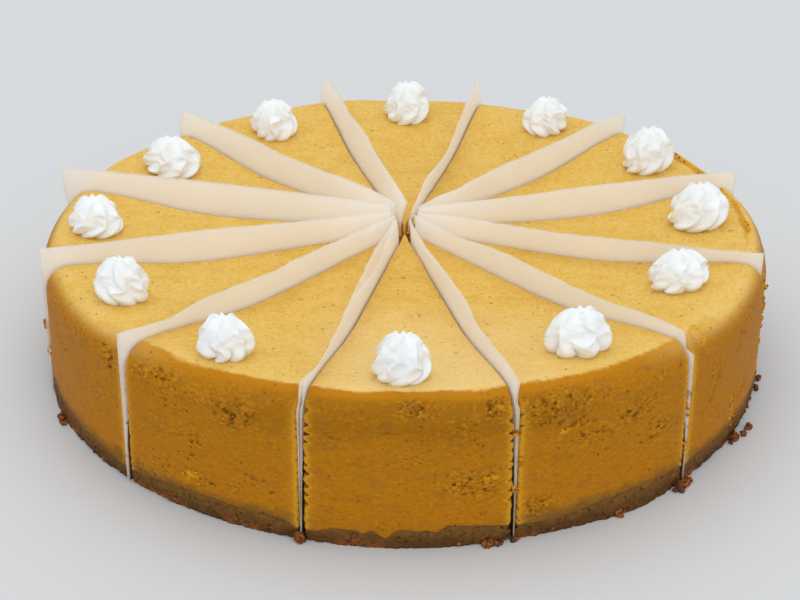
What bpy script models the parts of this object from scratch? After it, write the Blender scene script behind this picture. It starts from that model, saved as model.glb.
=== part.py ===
"""A baked pumpkin cheesecake, cut in twelve, with a folded paper in each cut and piped cream on each slice.

Units are metres, +Z is up, and the origin is the middle of the cake's underside. Angles run clockwise,
seen from above, from the front (-Y) towards the left (-X), and the first slice faces the front.
"""

import math

import bmesh
import bpy
from mathutils import Euler, Vector

# Driving dimensions of the cake
CAKE_RADIUS = 0.120
SLICE_COUNT = 12
CRUST_HEIGHT = 0.0066
RIM_HEIGHT = 0.0463
TROUGH_HEIGHT = 0.0420
CENTRE_HEIGHT = 0.0445
TROUGH_RADIUS = 0.066
SHOULDER = 0.008

# The filling rose higher towards one side of the tin
RIM_TILT = 0.0023
RIM_TILT_ANGLE = math.radians(-20)

# Waves round the cake, as (how many in a turn, height, phase)
CRUST_WAVES = ((5, 0.0007, 0.4), (11, 0.0006, 2.1), (17, 0.0004, 4.0))
FOOT_WAVES = ((13, 0.00035, 1.0), (22, 0.0003, 3.3))
SHOULDER_WAVES = ((7, 0.0004, 0.2), (15, 0.0003, 1.7))
FOOT_INSET = 0.0009

# The cuts are slim wedges, wider at the top, and the slices' points are gone
CUT_HALF_WIDTH_LOW = 0.0006
CUT_HALF_WIDTH_HIGH = 0.0010
TIP_RADIUS = 0.0045
GAP = 0.0003

# Papers: each is one sheet, folded along the bottom of its cut
PAPER_TOP = 0.0523
PAPER_BOTTOM = 0.0005
PAPER_INNER = 0.0055
PAPER_OUTER = 0.1210
PAPER_THICKNESS = 0.0002
LEAF_APART_LOW = 0.0004
LEAF_APART_HIGH = 0.0009
PAPER_SWAY = 0.0017
PAPER_BENDS = 1.05
PAPER_BENDS_SPREAD = 0.2
PAPER_PHASE = 1.7
PAPER_FREE_HEIGHT = 0.041
PAPER_ROW_HEIGHTS = (PAPER_BOTTOM, 0.040, 0.0465, PAPER_TOP)
PAPER_COLUMNS = 9

# Rosettes, one for each slice, as (turn from the slice's middle in degrees, distance from the
# cake's middle, width, height, twist in degrees)
ROSETTES = (
    (1, 0.0950, 0.0184, 0.0136, 35),
    (4, 0.0975, 0.0180, 0.0120, 15),
    (2, 0.1000, 0.0178, 0.0130, -35),
    (1, 0.1010, 0.0194, 0.0118, 60),
    (1, 0.0960, 0.0206, 0.0124, 70),
    (0, 0.0960, 0.0178, 0.0132, 30),
    (1, 0.0985, 0.0180, 0.0136, 25),
    (2, 0.1005, 0.0172, 0.0128, -40),
    (0, 0.1005, 0.0190, 0.0146, 45),
    (-3, 0.0995, 0.0204, 0.0144, 50),
    (-4, 0.0960, 0.0208, 0.0126, 20),
    (-3, 0.0935, 0.0210, 0.0124, -25),
)
ROSETTE_GAP = 0.0004

# The star shape of every rosette. Widths and heights are shares of its own, and the powers make
# the dome, the rings' spacing and the grooves between sharp ridges
RIDGES = 7
GROOVE_DEPTH = 0.26
GROOVE_DEPTH_AT_PEAK = 0.13
GROOVE_POWER = 0.8
ROSETTE_BASE_WIDTH = 0.84
ROSETTE_WIDEST_HEIGHT = 0.32
DOME_POWER = 2.2
DOME_ROOT = 0.55
RING_POWER = 1.3
ROSETTE_RINGS = 8
SIDES_PER_RIDGE = 4

# How finely the round cake is drawn
TURN_STEPS = 72
TOP_STEPS = (0.0, 0.022, 0.044, 0.066, 0.082, 0.098)
SHOULDER_STEPS = 4
MERGE_DISTANCE = 0.00001

# Colour (linear RGB) and roughness of each kind of piece
FINISHES = {
    "filling": ((0.60, 0.27, 0.045), 0.45),
    "crust": ((0.17, 0.075, 0.028), 0.85),
    "divider": ((0.80, 0.74, 0.64), 0.55),
    "rosette": ((0.93, 0.93, 0.91), 0.40),
}

SLICE_ANGLE = 2 * math.pi / SLICE_COUNT
SHOULDER_RADIUS = CAKE_RADIUS - SHOULDER


def wave(waves, angle):
    """Sum of the waves at this angle round the cake."""
    return sum(size * math.sin(count * angle + phase) for count, size, phase in waves)


def top_height(radius):
    """Height of the baked top, which sank in a ring between the middle and the rim."""
    if radius <= TROUGH_RADIUS:
        share = math.cos(math.pi / 2 * radius / TROUGH_RADIUS) ** 2
        return TROUGH_HEIGHT + (CENTRE_HEIGHT - TROUGH_HEIGHT) * share
    run = min(1.0, (radius - TROUGH_RADIUS) / (SHOULDER_RADIUS - TROUGH_RADIUS))
    return TROUGH_HEIGHT + (RIM_HEIGHT - TROUGH_HEIGHT) * math.sin(math.pi / 2 * run) ** 2


def lift(angle, radius):
    """How much higher the top is at this place because the filling rose unevenly."""
    return RIM_TILT * math.cos(angle - RIM_TILT_ANGLE) * (radius / CAKE_RADIUS) ** 2


def filling_section():
    """Half section of the filling: along the top, round the shoulder, down the side and back below."""
    section = [(radius, top_height(radius)) for radius in TOP_STEPS]
    for step in range(SHOULDER_STEPS + 1):
        turn = math.pi / 2 * step / SHOULDER_STEPS
        radius = SHOULDER_RADIUS + SHOULDER * math.sin(turn)
        section.append((radius, RIM_HEIGHT - SHOULDER * (1 - math.cos(turn))))
    section.append((CAKE_RADIUS, (RIM_HEIGHT + CRUST_HEIGHT) / 2))
    section.append((CAKE_RADIUS, CRUST_HEIGHT))
    section.append((0.0, CRUST_HEIGHT))
    return section


def crust_section():
    """Half section of the crumb crust below the filling, with a foot that is crumbled away a little."""
    top = CRUST_HEIGHT - GAP
    return [
        (0.0, top),
        (CAKE_RADIUS, top),
        (CAKE_RADIUS - FOOT_INSET / 3, top / 2),
        (CAKE_RADIUS - FOOT_INSET, 0.0),
        (0.0, 0.0),
    ]


def shape_filling(point, angle, radius):
    """Moves a point of the turned filling to its uneven place."""
    share = (point.z - CRUST_HEIGHT) / (RIM_HEIGHT - CRUST_HEIGHT)
    reach = (radius / CAKE_RADIUS) ** 2
    point.z += share * lift(angle, radius) + (1 - share) * reach * wave(CRUST_WAVES, angle)
    if radius > SHOULDER_RADIUS - MERGE_DISTANCE and share > 0.5:
        point.z += share * wave(SHOULDER_WAVES, angle)


def shape_crust(point, angle, radius):
    """Moves a point of the turned crust to its uneven place."""
    share = point.z / (CRUST_HEIGHT - GAP)
    point.z += share * (radius / CAKE_RADIUS) ** 2 * wave(CRUST_WAVES, angle)
    if 0 < radius < CAKE_RADIUS - MERGE_DISTANCE:
        scale = 1 + (1 - share) * wave(FOOT_WAVES, angle) / radius
        point.x *= scale
        point.y *= scale


def turned(section, shape):
    """A bmesh of the section turned round the Z axis, with each point then moved by shape."""
    mesh = bpy.data.meshes.new("section")
    edges = [(index, index + 1) for index in range(len(section) - 1)]
    mesh.from_pydata([(radius, 0, height) for radius, height in section], edges, [])
    profile = bpy.data.objects.new("section", mesh)
    bpy.context.scene.collection.objects.link(profile)
    screw = profile.modifiers.new("Screw", "SCREW")
    screw.steps = screw.render_steps = TURN_STEPS
    screw.use_merge_vertices = True
    screw.merge_threshold = MERGE_DISTANCE
    graph = bpy.context.evaluated_depsgraph_get()
    round_mesh = bpy.data.meshes.new_from_object(profile.evaluated_get(graph))
    body = bmesh.new()
    body.from_mesh(round_mesh)
    bmesh.ops.triangulate(body, faces=body.faces, quad_method="SHORT_EDGE")
    bmesh.ops.recalc_face_normals(body, faces=body.faces)
    for vertex in body.verts:
        angle = math.atan2(-vertex.co.x, -vertex.co.y)
        shape(vertex.co, angle, math.hypot(vertex.co.x, vertex.co.y))
    bpy.data.objects.remove(profile)
    bpy.data.meshes.remove(round_mesh)
    return body


def outward(angle):
    """Level unit vector from the cake's middle at this angle."""
    return Vector((-math.sin(angle), -math.cos(angle), 0))


def cut_away(body, place, normal):
    """Removes what lies beyond the plane and closes the cut face."""
    geometry = body.verts[:] + body.edges[:] + body.faces[:]
    cut = bmesh.ops.bisect_plane(body, geom=geometry, plane_co=place, plane_no=normal, clear_outer=True)
    edges = [item for item in cut["geom_cut"] if isinstance(item, bmesh.types.BMEdge)]
    closed = bmesh.ops.edgenet_fill(body, edges=edges)
    bmesh.ops.triangulate(body, faces=closed["faces"])


def slice_of(cake, middle):
    """A copy of the turned cake between the two cuts beside this angle, without its point."""
    piece = cake.copy()
    lean = (CUT_HALF_WIDTH_HIGH - CUT_HALF_WIDTH_LOW) / RIM_HEIGHT
    for side in (-1, 1):
        angle = middle + side * SLICE_ANGLE / 2
        across = side * Vector((-math.cos(angle), math.sin(angle), 0))
        place = -across * CUT_HALF_WIDTH_LOW
        cut_away(piece, place, across + Vector((0, 0, lean)))
    cut_away(piece, outward(middle) * TIP_RADIUS, -outward(middle))
    bmesh.ops.recalc_face_normals(piece, faces=piece.faces)
    return piece


def paper_point(along, height, leaf, number):
    """A point of a folded paper that stands along -Y: its leaf is -1 or 1."""
    rise = (height - PAPER_BOTTOM) / (PAPER_TOP - PAPER_BOTTOM)
    apart = LEAF_APART_LOW + (LEAF_APART_HIGH - LEAF_APART_LOW) * rise ** 2
    free = max(0.0, (height - PAPER_FREE_HEIGHT) / (PAPER_TOP - PAPER_FREE_HEIGHT))
    bends = PAPER_BENDS + PAPER_BENDS_SPREAD * math.sin(number)
    bend = math.sin(2 * math.pi * bends * along + PAPER_PHASE * number)
    sway = PAPER_SWAY * free ** 2 * math.sin(math.pi * along) * bend
    radius = PAPER_INNER + (PAPER_OUTER - PAPER_INNER) * along
    return Vector((leaf * apart / 2 + sway, -radius, height))


def add_piece(name, kind, mesh, collection, materials):
    """Links a finished mesh as a named object with the material of its kind."""
    mesh.name = name
    mesh.materials.append(materials[kind])
    piece = bpy.data.objects.new(name, mesh)
    collection.objects.link(piece)
    return piece


def mesh_from(body):
    """A mesh with the bmesh's shape, shaded smooth but for its sharp edges."""
    mesh = bpy.data.meshes.new("mesh")
    body.to_mesh(mesh)
    body.free()
    mesh.shade_smooth()
    mesh.set_sharp_from_angle(angle=math.radians(35))
    return mesh


def paper_mesh(number):
    """The folded sheet before it has a thickness: a grid with its rows down one leaf and up the other."""
    rows = PAPER_ROW_HEIGHTS[::-1] + PAPER_ROW_HEIGHTS
    sheet = bmesh.new()
    bmesh.ops.create_grid(sheet, x_segments=PAPER_COLUMNS, y_segments=len(rows) - 1, size=0.5)
    for vertex in sheet.verts:
        row = round((vertex.co.y + 0.5) * (len(rows) - 1))
        leaf = -1 if row < len(PAPER_ROW_HEIGHTS) else 1
        vertex.co = paper_point(vertex.co.x + 0.5, rows[row], leaf, number)
    bmesh.ops.triangulate(sheet, faces=sheet.faces)
    return mesh_from(sheet)


def add_paper(number, collection, materials):
    """The paper in the cut that follows slice number, as a thin solid."""
    paper = add_piece(f"divider_{number:02d}", "divider", paper_mesh(number), collection, materials)
    paper.rotation_euler.z = -(number - 0.5) * SLICE_ANGLE
    thickness = paper.modifiers.new("Thickness", "SOLIDIFY")
    thickness.thickness = PAPER_THICKNESS
    thickness.offset = 0
    thickness.use_even_offset = True


def dome_share(rise):
    """How wide a dollop is at this share of its height, as a share of its full width."""
    share = ((1 - rise ** DOME_POWER) / (1 - ROSETTE_WIDEST_HEIGHT ** DOME_POWER)) ** DOME_ROOT
    below = max(0.0, 1 - rise / ROSETTE_WIDEST_HEIGHT)
    return min(1.0, share) * (1 - (1 - ROSETTE_BASE_WIDTH) * below ** 2)


def rosette_point(direction, width, height, twist):
    """Where a point of the unit sphere goes on a star piped dollop whose ridges turn as they rise."""
    foot = 1 / ROSETTE_RINGS
    way_up = math.acos(max(-1.0, min(1.0, -direction.z))) / math.pi
    rise = 1 - (1 - max(0.0, way_up - foot) / (1 - foot)) ** RING_POWER
    turn = math.atan2(direction.y, direction.x)
    depth = GROOVE_DEPTH + (GROOVE_DEPTH_AT_PEAK - GROOVE_DEPTH) * rise
    groove = depth * abs(math.sin(RIDGES / 2 * turn)) ** GROOVE_POWER
    radius = width / 2 * dome_share(rise) * (1 - groove) * min(1.0, way_up / foot)
    turn += twist * rise
    return Vector((radius * math.cos(turn), radius * math.sin(turn), height * rise))


def add_rosette(number, collection, materials):
    """The cream on slice number, standing on the sloping top of the cake."""
    turn, distance, width, height, twist = ROSETTES[number - 1]
    place = outward((number - 1) * SLICE_ANGLE + math.radians(turn)) * distance
    sides = RIDGES * SIDES_PER_RIDGE
    dollop = bmesh.new()
    bmesh.ops.create_uvsphere(dollop, u_segments=sides, v_segments=ROSETTE_RINGS, radius=1.0)
    for vertex in dollop.verts:
        point = rosette_point(vertex.co, width, height, math.radians(twist))
        point.rotate(Euler((0, 0, number)))
        spot = place + point
        radius = math.hypot(spot.x, spot.y)
        point.z += top_height(radius) + lift(math.atan2(-spot.x, -spot.y), radius) + ROSETTE_GAP
        vertex.co = point
    rosette = add_piece(f"rosette_{number:02d}", "rosette", mesh_from(dollop), collection, materials)
    rosette.location = place


def make_materials():
    """One Principled material for each kind of piece."""
    materials = {}
    for kind, (colour, roughness) in FINISHES.items():
        material = bpy.data.materials.new(kind)
        material.use_nodes = True
        shader = material.node_tree.nodes["Principled BSDF"]
        shader.inputs["Base Color"].default_value = (*colour, 1)
        shader.inputs["Roughness"].default_value = roughness
        shader.inputs["Metallic"].default_value = 0.0
        materials[kind] = material
    return materials


def main():
    for item in list(bpy.data.objects):
        bpy.data.objects.remove(item)
    collection = bpy.data.collections.new("cheesecake")
    bpy.context.scene.collection.children.link(collection)
    materials = make_materials()
    layers = {
        "crust": turned(crust_section(), shape_crust),
        "filling": turned(filling_section(), shape_filling),
    }
    for number in range(1, SLICE_COUNT + 1):
        for kind, layer in layers.items():
            piece = slice_of(layer, (number - 1) * SLICE_ANGLE)
            add_piece(f"{kind}_{number:02d}", kind, mesh_from(piece), collection, materials)
        add_paper(number, collection, materials)
        add_rosette(number, collection, materials)
    for layer in layers.values():
        layer.free()


main()
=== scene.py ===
# %% [markdown]
# # A sliced pumpkin cheesecake
#
# The cake is round, baked on a crumb crust and cut in twelve. A folded sheet of parchment stands in
# each cut, and each slice carries one piped rosette of cream. The solids from the CAD model give every
# piece its place and size, and this script dresses them: it builds a finer mesh for each slice, crust,
# paper and rosette, adds the crumbs, and gives each a material.

# %% Tools and the frame
import math

import bmesh
import bpy
import numpy as np
from mathutils import Matrix, Vector, noise


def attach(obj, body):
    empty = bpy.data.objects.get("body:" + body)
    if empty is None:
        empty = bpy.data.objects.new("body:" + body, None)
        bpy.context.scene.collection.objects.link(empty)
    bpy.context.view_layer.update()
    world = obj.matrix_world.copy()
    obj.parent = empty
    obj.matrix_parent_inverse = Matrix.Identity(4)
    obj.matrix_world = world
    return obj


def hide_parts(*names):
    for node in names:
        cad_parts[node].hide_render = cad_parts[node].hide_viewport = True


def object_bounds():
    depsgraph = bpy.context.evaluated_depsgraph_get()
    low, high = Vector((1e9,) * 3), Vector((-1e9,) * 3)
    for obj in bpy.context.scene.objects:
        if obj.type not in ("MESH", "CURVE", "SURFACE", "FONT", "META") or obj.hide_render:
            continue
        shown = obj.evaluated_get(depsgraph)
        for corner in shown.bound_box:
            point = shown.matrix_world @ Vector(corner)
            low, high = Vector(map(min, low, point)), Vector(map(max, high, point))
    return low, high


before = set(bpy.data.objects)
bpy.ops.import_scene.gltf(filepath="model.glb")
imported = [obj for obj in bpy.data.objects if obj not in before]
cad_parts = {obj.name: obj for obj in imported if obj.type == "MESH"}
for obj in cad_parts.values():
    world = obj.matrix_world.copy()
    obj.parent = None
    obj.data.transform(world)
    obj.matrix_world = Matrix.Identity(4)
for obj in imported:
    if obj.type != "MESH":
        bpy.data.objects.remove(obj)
cad_low, cad_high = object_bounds()
MM = 0.001
print("the frame holds", len(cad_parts), "solids")

# %% [markdown]
# ## The cake as a rule
#
# A cake that is turned in a round tin is easiest to describe by its half section: how high the top is
# at each distance from the middle. Angles run clockwise, seen from above, from the front, and the
# same few functions of distance and angle then serve the filling, the crust and the cream on top.
# They repeat the sizes of the CAD model, so that what is built here lies where the solids are.

# %% Driving sizes
SLICES = 12
SLICE_ANGLE = 2 * math.pi / SLICES
CAKE_RADIUS = cad_high.x
CRUST_HEIGHT = 6.6 * MM
RIM_HEIGHT = 46.3 * MM
TROUGH_HEIGHT = 42.0 * MM
CENTRE_HEIGHT = 44.5 * MM
TROUGH_RADIUS = 66 * MM
SHOULDER = 8 * MM
SHOULDER_RADIUS = CAKE_RADIUS - SHOULDER
RIM_TILT = 2.3 * MM
RIM_TILT_ANGLE = math.radians(-20)
CRUST_WAVES = ((5, 0.7 * MM, 0.4), (11, 0.6 * MM, 2.1), (17, 0.4 * MM, 4.0))
SHOULDER_WAVES = ((7, 0.4 * MM, 0.2), (15, 0.3 * MM, 1.7))
FOOT_INSET = 0.7 * MM


def smooth(low, high, value):
    """Rises smoothly from 0 at low to 1 at high."""
    share = np.clip((value - low) / (high - low), 0, 1)
    return share * share * (3 - 2 * share)


def wave(waves, angle):
    """Sum of the waves at this angle round the cake."""
    return sum(size * np.sin(count * angle + phase) for count, size, phase in waves)


def top_height(radius):
    """Height of the baked top, which sank in a ring between the middle and the rim."""
    inner = np.cos(np.pi / 2 * np.clip(radius / TROUGH_RADIUS, 0, 1)) ** 2
    run = np.clip((radius - TROUGH_RADIUS) / (SHOULDER_RADIUS - TROUGH_RADIUS), 0, 1)
    outer = np.sin(np.pi / 2 * run) ** 2
    return TROUGH_HEIGHT + (CENTRE_HEIGHT - TROUGH_HEIGHT) * inner + (RIM_HEIGHT - TROUGH_HEIGHT) * outer


def lift(angle, radius):
    """How much higher the top is at this place because the filling rose unevenly."""
    return RIM_TILT * np.cos(angle - RIM_TILT_ANGLE) * (radius / CAKE_RADIUS) ** 2


def outward(angle):
    """Level unit vector from the cake's middle at this angle."""
    return Vector((-math.sin(angle), -math.cos(angle), 0))


def turned(angle, middle):
    """How far this angle lies beyond the middle one, at most half a turn either way."""
    return np.angle(np.exp(1j * (angle - middle)))


print(f"the cake is {2 * CAKE_RADIUS / MM:.1f} mm across and {RIM_HEIGHT / MM:.1f} mm high at the rim")

# %% [markdown]
# ## A slice as a sleeve
#
# Each slice is a wedge whose long edges are soft and whose cut faces are hidden by paper. The mesh is
# a sleeve: its rows follow the half section all the way round (up the point, out along the top, over
# the shoulder, down the side and back below), and its columns run across from one cut to the other,
# bending round the edge into each cut face. A flat face closes the sleeve at either end. Rows lie
# close where the baked skin shows, and far apart below.

# %% Rows round the half section
TIP_RADIUS = 4.2 * MM
TIP_STEP = 4 * MM
# How close the rows of the top lie, as (out to which distance, step)
TOP_STEPS = ((96 * MM, 1.5 * MM), (SHOULDER_RADIUS, 0.55 * MM))
SHOULDER_STEP = 0.065
SIDE_STEP = 0.38 * MM
CRUST_SIDE_STEP = 0.4 * MM
HIDDEN_STEP = 12 * MM
CRUST_EDGE = 2 * MM
CRUST_INSET = 0.1 * MM


def spaced(start, end, step):
    """Values from start to end, at most a step apart."""
    count = max(1, math.ceil(abs(end - start) / step))
    return np.linspace(start, end, count + 1)


def filling_rows():
    """Points of the filling's section in order, as (radius, height, share of the side)."""
    tip = spaced(CRUST_HEIGHT, float(top_height(0)), TIP_STEP)
    rows = [(TIP_RADIUS, height, 0.0) for height in tip]
    start = TIP_RADIUS
    for end, step in TOP_STEPS:
        for radius in spaced(start, end, step)[1:]:
            rows.append((radius, float(top_height(radius)), 0.0))
        start = end
    for turn in spaced(0, math.pi / 2, SHOULDER_STEP)[1:]:
        radius = SHOULDER_RADIUS + SHOULDER * math.sin(turn)
        height = RIM_HEIGHT - SHOULDER * (1 - math.cos(turn))
        rows.append((radius, height, math.sin(turn) ** 2))
    for height in spaced(RIM_HEIGHT - SHOULDER, CRUST_HEIGHT, SIDE_STEP)[1:]:
        rows.append((CAKE_RADIUS, height, 1.0))
    for radius in spaced(CAKE_RADIUS, TIP_RADIUS, HIDDEN_STEP)[1:-1]:
        rows.append((radius, CRUST_HEIGHT, 0.0))
    return np.array(rows)


def crust_rows():
    """Points of the crust's section in order, as (radius, height, share of the side)."""
    rows = [(TIP_RADIUS, 0.0, 0.0), (TIP_RADIUS, CRUST_HEIGHT, 0.0)]
    for radius in spaced(TIP_RADIUS, CAKE_RADIUS - CRUST_EDGE, HIDDEN_STEP)[1:]:
        rows.append((radius, CRUST_HEIGHT, 0.0))
    for height in spaced(CRUST_HEIGHT, 0.0, CRUST_SIDE_STEP):
        sag = 1 - height / CRUST_HEIGHT
        rows.append((CAKE_RADIUS - CRUST_INSET - FOOT_INSET * sag ** 2, height, 1.0))
    for radius in spaced(CAKE_RADIUS - CRUST_EDGE, TIP_RADIUS, HIDDEN_STEP)[:-1]:
        rows.append((radius, 0.0, 0.0))
    return np.array(rows)


FILLING_ROWS = filling_rows()
CRUST_ROWS = crust_rows()
print(len(FILLING_ROWS), "rows round a slice of filling,", len(CRUST_ROWS), "round a slice of crust")

# %% [markdown]
# ## Uneven edges
#
# A wire or a knife drags crumbs along as it leaves the side, so the upright edges of each cut are
# scalloped, about one bite every three millimetres. The top edges stay crisp. On the far right the
# baked skin rose against the tin and tore, which leaves a raised ledge along the rim there. The line
# between filling and crust wavers, and here and there the filling has run down over the crust.

# %% Functions for the uneven parts
CUT_HALF_WIDTH_LOW = 0.5 * MM
CUT_HALF_WIDTH_HIGH = 0.8 * MM
BITE_SPACING = 3.1 * MM
BITE_DEPTH = 1.9 * MM
BITE_WOBBLE = 2.6
BITE_SHARPNESS = 0.45
# How strongly each slice's two upright edges are bitten: the edge behind, then the edge ahead, clockwise
BITE_SHARES = (
    (0.75, 1.0), (0.35, 0.40), (0.30, 0.45), (0.5, 0.5), (0.5, 0.5), (0.5, 0.5),
    (0.5, 0.5), (0.5, 0.5), (0.5, 0.5), (0.5, 0.6), (0.60, 0.30), (0.50, 0.50),
)
DRIPS = 26
DRIP_WIDTH = math.radians(1.1)
# The runs that show in front, as (angle in degrees, depth in mm, width against the usual)
FRONT_DRIPS = ((3.2, 3.0, 1.0), (6.2, 1.2, 0.6), (8.5, 1.5, 4.0), (13.8, 1.5, 2.0))
LEDGE_HEIGHT = 1.3 * MM
LEDGE_CREASE = 1.0 * MM
LEDGE_SPAN = (math.radians(226), math.radians(284))
LEDGE_RADIUS = 113.6 * MM


def noise_at(x, y, z, scale):
    """Smooth noise from -1 to 1 at many points, with features of the given scale."""
    points = np.stack(np.broadcast_arrays(x, y, z), axis=-1).reshape(-1, 3) / scale
    values = [noise.noise(Vector(point)) for point in points]
    return np.array(values).reshape(np.broadcast(x, y, z).shape)


def drip_depths():
    """Angle, depth and width of each run of filling over the crust, the same on each run."""
    chance = np.random.default_rng(7)
    angles = chance.uniform(0, 2 * math.pi, DRIPS)
    depths = chance.uniform(0.4, 2.4, DRIPS) * MM
    widths = chance.uniform(0.5, 1.6, DRIPS) * DRIP_WIDTH
    front = [(math.radians(angle), depth * MM, DRIP_WIDTH * wide) for angle, depth, wide in FRONT_DRIPS]
    return front + list(zip(angles, depths, widths))


drips = drip_depths()


def crust_line(angle):
    """How far the top of the crust lies above or below its usual height, at the rim."""
    height = wave(CRUST_WAVES, angle)
    for middle, depth, width in drips:
        height = height - depth * np.exp(-(turned(angle, middle) / width) ** 2)
    return height


def cut_gap(radius, height, side, seed, share=1.0):
    """Distance of the cut face from the middle of the cut, and how deep it is bitten there."""
    gap = CUT_HALF_WIDTH_LOW + (CUT_HALF_WIDTH_HIGH - CUT_HALF_WIDTH_LOW) * height / RIM_HEIGHT
    wobble = noise_at(0 * height, seed * MM, height, 6 * MM)
    turn = np.pi * height / BITE_SPACING + BITE_WOBBLE * wobble + seed
    bite = np.abs(np.sin(turn)) ** BITE_SHARPNESS
    deep = np.clip(0.80 + 1.3 * noise_at(0 * height, (seed + 50) * MM, height, 8 * MM), 0.25, 1.2)
    rough = noise_at(radius, (seed + 90) * MM, height, 1.3 * MM)
    ragged = np.maximum((1 - bite) * deep * 1.2 + 0.20 * rough + 0.06, -0.05)
    return gap + side * share * BITE_DEPTH * ragged, side * np.clip(share * ragged / 0.5, 0, 1)


def ledge(angle, radius):
    """Height of the torn skin along the rim where the filling rose highest, and where it is torn."""
    angle = angle % (2 * math.pi)
    first, last = LEDGE_SPAN
    along = smooth(first, first + 0.1, angle) * smooth(last, last - 0.2, angle)
    if along.max() <= 0:
        return along, along
    turn = angle * CAKE_RADIUS
    edge = LEDGE_RADIUS + 1.3 * MM * noise_at(turn, 0 * radius, 0 * radius, 7 * MM)
    edge = edge + 0.7 * MM * noise_at(turn, 5 * MM, 0 * radius, 1.8 * MM)
    size = along * np.clip(0.75 + 0.8 * noise_at(turn, 9 * MM, 0 * radius, 11 * MM), 0.2, 1.2)
    rise = smooth(edge - 0.25 * MM, edge + 0.45 * MM, radius)
    crease = np.exp(-((radius - edge + 0.7 * MM) / (0.45 * MM)) ** 2)
    fall = 1 - smooth(CAKE_RADIUS - 4 * MM, CAKE_RADIUS - 1 * MM, radius)
    torn = size * np.exp(-((radius - edge - 0.2 * MM) / (1.0 * MM)) ** 2)
    return size * (LEDGE_HEIGHT * rise * fall - LEDGE_CREASE * crease), torn


print(len(drips), "runs of filling over the crust, and a bite every", round(BITE_SPACING / MM, 1), "mm")

# %% [markdown]
# ## Marks on the side
#
# Something caught the side in a few places and left scars, one big bubble left a ring on the shoulder,
# and small bubbles burst against the tin in patches. Sculpting could make such marks. Here each is one
# row of a table instead, so that it is moved or deepened by changing a number. The helper `oval` gives
# the shape that scars and patches share.

# %% Marks on the side
# Where something caught the side, as (angle in degrees, height, half width, half height, depth in mm)
SCARS = (
    (301.2, 12.5, 1.2, 3.6, 1.9), (299.8, 6.8, 1.4, 2.4, 1.2), (31.8, 13.2, 2.4, 1.2, 1.6),
    (33.4, 11.4, 1.6, 1.2, 0.8), (348.4, 22.4, 2.4, 0.8, 0.9), (353.4, 20.5, 2.0, 0.6, 0.7),
    (338.0, 33.5, 1.4, 0.8, 0.8),
)
TORN_DEPTH = 0.8 * MM
# Patches where many bubbles burst against the tin, as (angle, height, half width, half height)
PITTED = (
    (-1.0, 43.6, 5.5, 2.2), (-12.2, 43.6, 4.5, 2.4), (-21.0, 41.0, 15.0, 4.2), (-27.0, 30.0, 9.0, 3.0),
    (-9.5, 20.5, 11.0, 5.0), (38.5, 41.5, 11.0, 3.4), (25.0, 37.5, 8.0, 5.0), (48.5, 40.0, 6.0, 5.0),
    (-34.0, 33.0, 7.0, 3.6), (-38.5, 24.0, 6.0, 3.4), (-52.0, 30.0, 3.0, 6.0), (-18.0, 12.0, 6.0, 3.0),
)


def oval(angle, height, degrees, middle, wide, tall, power):
    """1 in the middle of an oval on the side, and falling to 0 round it."""
    along = turned(angle, math.radians(degrees)) * CAKE_RADIUS / (wide * MM)
    up = (height - middle * MM) / (tall * MM)
    return np.exp(-(along ** 2 + up ** 2) ** power)


def scars(angle, height):
    """How deep the side is dented there, and how torn it is."""
    depth = 0 * angle * height
    for *place_and_size, deep in SCARS:
        depth = depth + deep * MM * oval(angle, height, *place_and_size, 1.5)
    return depth, np.clip(depth / TORN_DEPTH, 0, 1)


def pitting(angle, height):
    """How thickly pits lie at this place of the side."""
    share = 0 * angle * height
    for row in PITTED:
        share = share + oval(angle, height, *row, 1.2)
    return np.clip(share, 0, 1)


print(len(SCARS), "scars and", len(PITTED), "pitted patches")

# %% [markdown]
# ## One large bubble
#
# A bubble about 5 mm wide rose at the shoulder on the right and broke. It left a shallow ring, with torn
# skin at one side. The ring is measured along the curve of the shoulder, not straight down, or it would
# be squashed where the shoulder turns.

# %% The mark of one large bubble
# Its angle in degrees, and in mm how far down the shoulder it lies, its radius, and the groove's half
# width and depth
BUBBLE = (-48.6, 4.4, 2.4, 0.50, 0.6)
# The torn skin's angle in degrees, and in mm how far down it lies and its half width
BUBBLE_TEAR = (-49.8, 1.0, 1.5)
RING_SQUASH = 0.85
TEAR_SQUASH = 1.6
# What lies above this height belongs to the top or the shoulder
TOP_FROM = 0.8 * RIM_HEIGHT


def bubble_mark(angle, radius, height):
    """How deep the bubble's ring lies on the shoulder, and how torn the skin is there."""
    turn = np.arcsin(np.clip((radius - SHOULDER_RADIUS) / SHOULDER, 0, 1))
    down = (np.minimum(radius - SHOULDER_RADIUS, 0) + SHOULDER * turn) / MM
    shown = height > TOP_FROM
    degrees, middle, size, wide, deep = BUBBLE
    along = turned(angle, math.radians(degrees)) * CAKE_RADIUS / MM
    ring = shown * np.exp(-((np.hypot(along, (down - middle) * RING_SQUASH) - size) / wide) ** 2)
    degrees, middle, size = BUBBLE_TEAR
    along = turned(angle, math.radians(degrees)) * CAKE_RADIUS / MM
    tear = shown * np.exp(-(np.hypot(along, (down - middle) * TEAR_SQUASH) / size) ** 2)
    return deep * MM * (ring + 0.6 * tear), np.clip(0.62 * ring + 0.8 * tear, 0, 1)


print("the bubble's ring is", 2 * BUBBLE[2], "mm wide")

# %% [markdown]
# ## Columns and rows of the sleeve
#
# A slice could be cut from a whole cake with a Boolean, but then its edges would be knife sharp. So the
# columns bend round each edge: some lie deep on the cut's face, a few on the rounded edge, and the rest
# across the skin. A column on the face is the section again, drawn inwards.

# %% Columns and rows
EDGE_ROUNDING = 0.9 * MM
EDGE_STEPS = 5
CUT_DEPTHS = (4.0 * MM, 2.6 * MM, 1.6 * MM)
SKIN_FADE = 0.9 * MM


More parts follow.
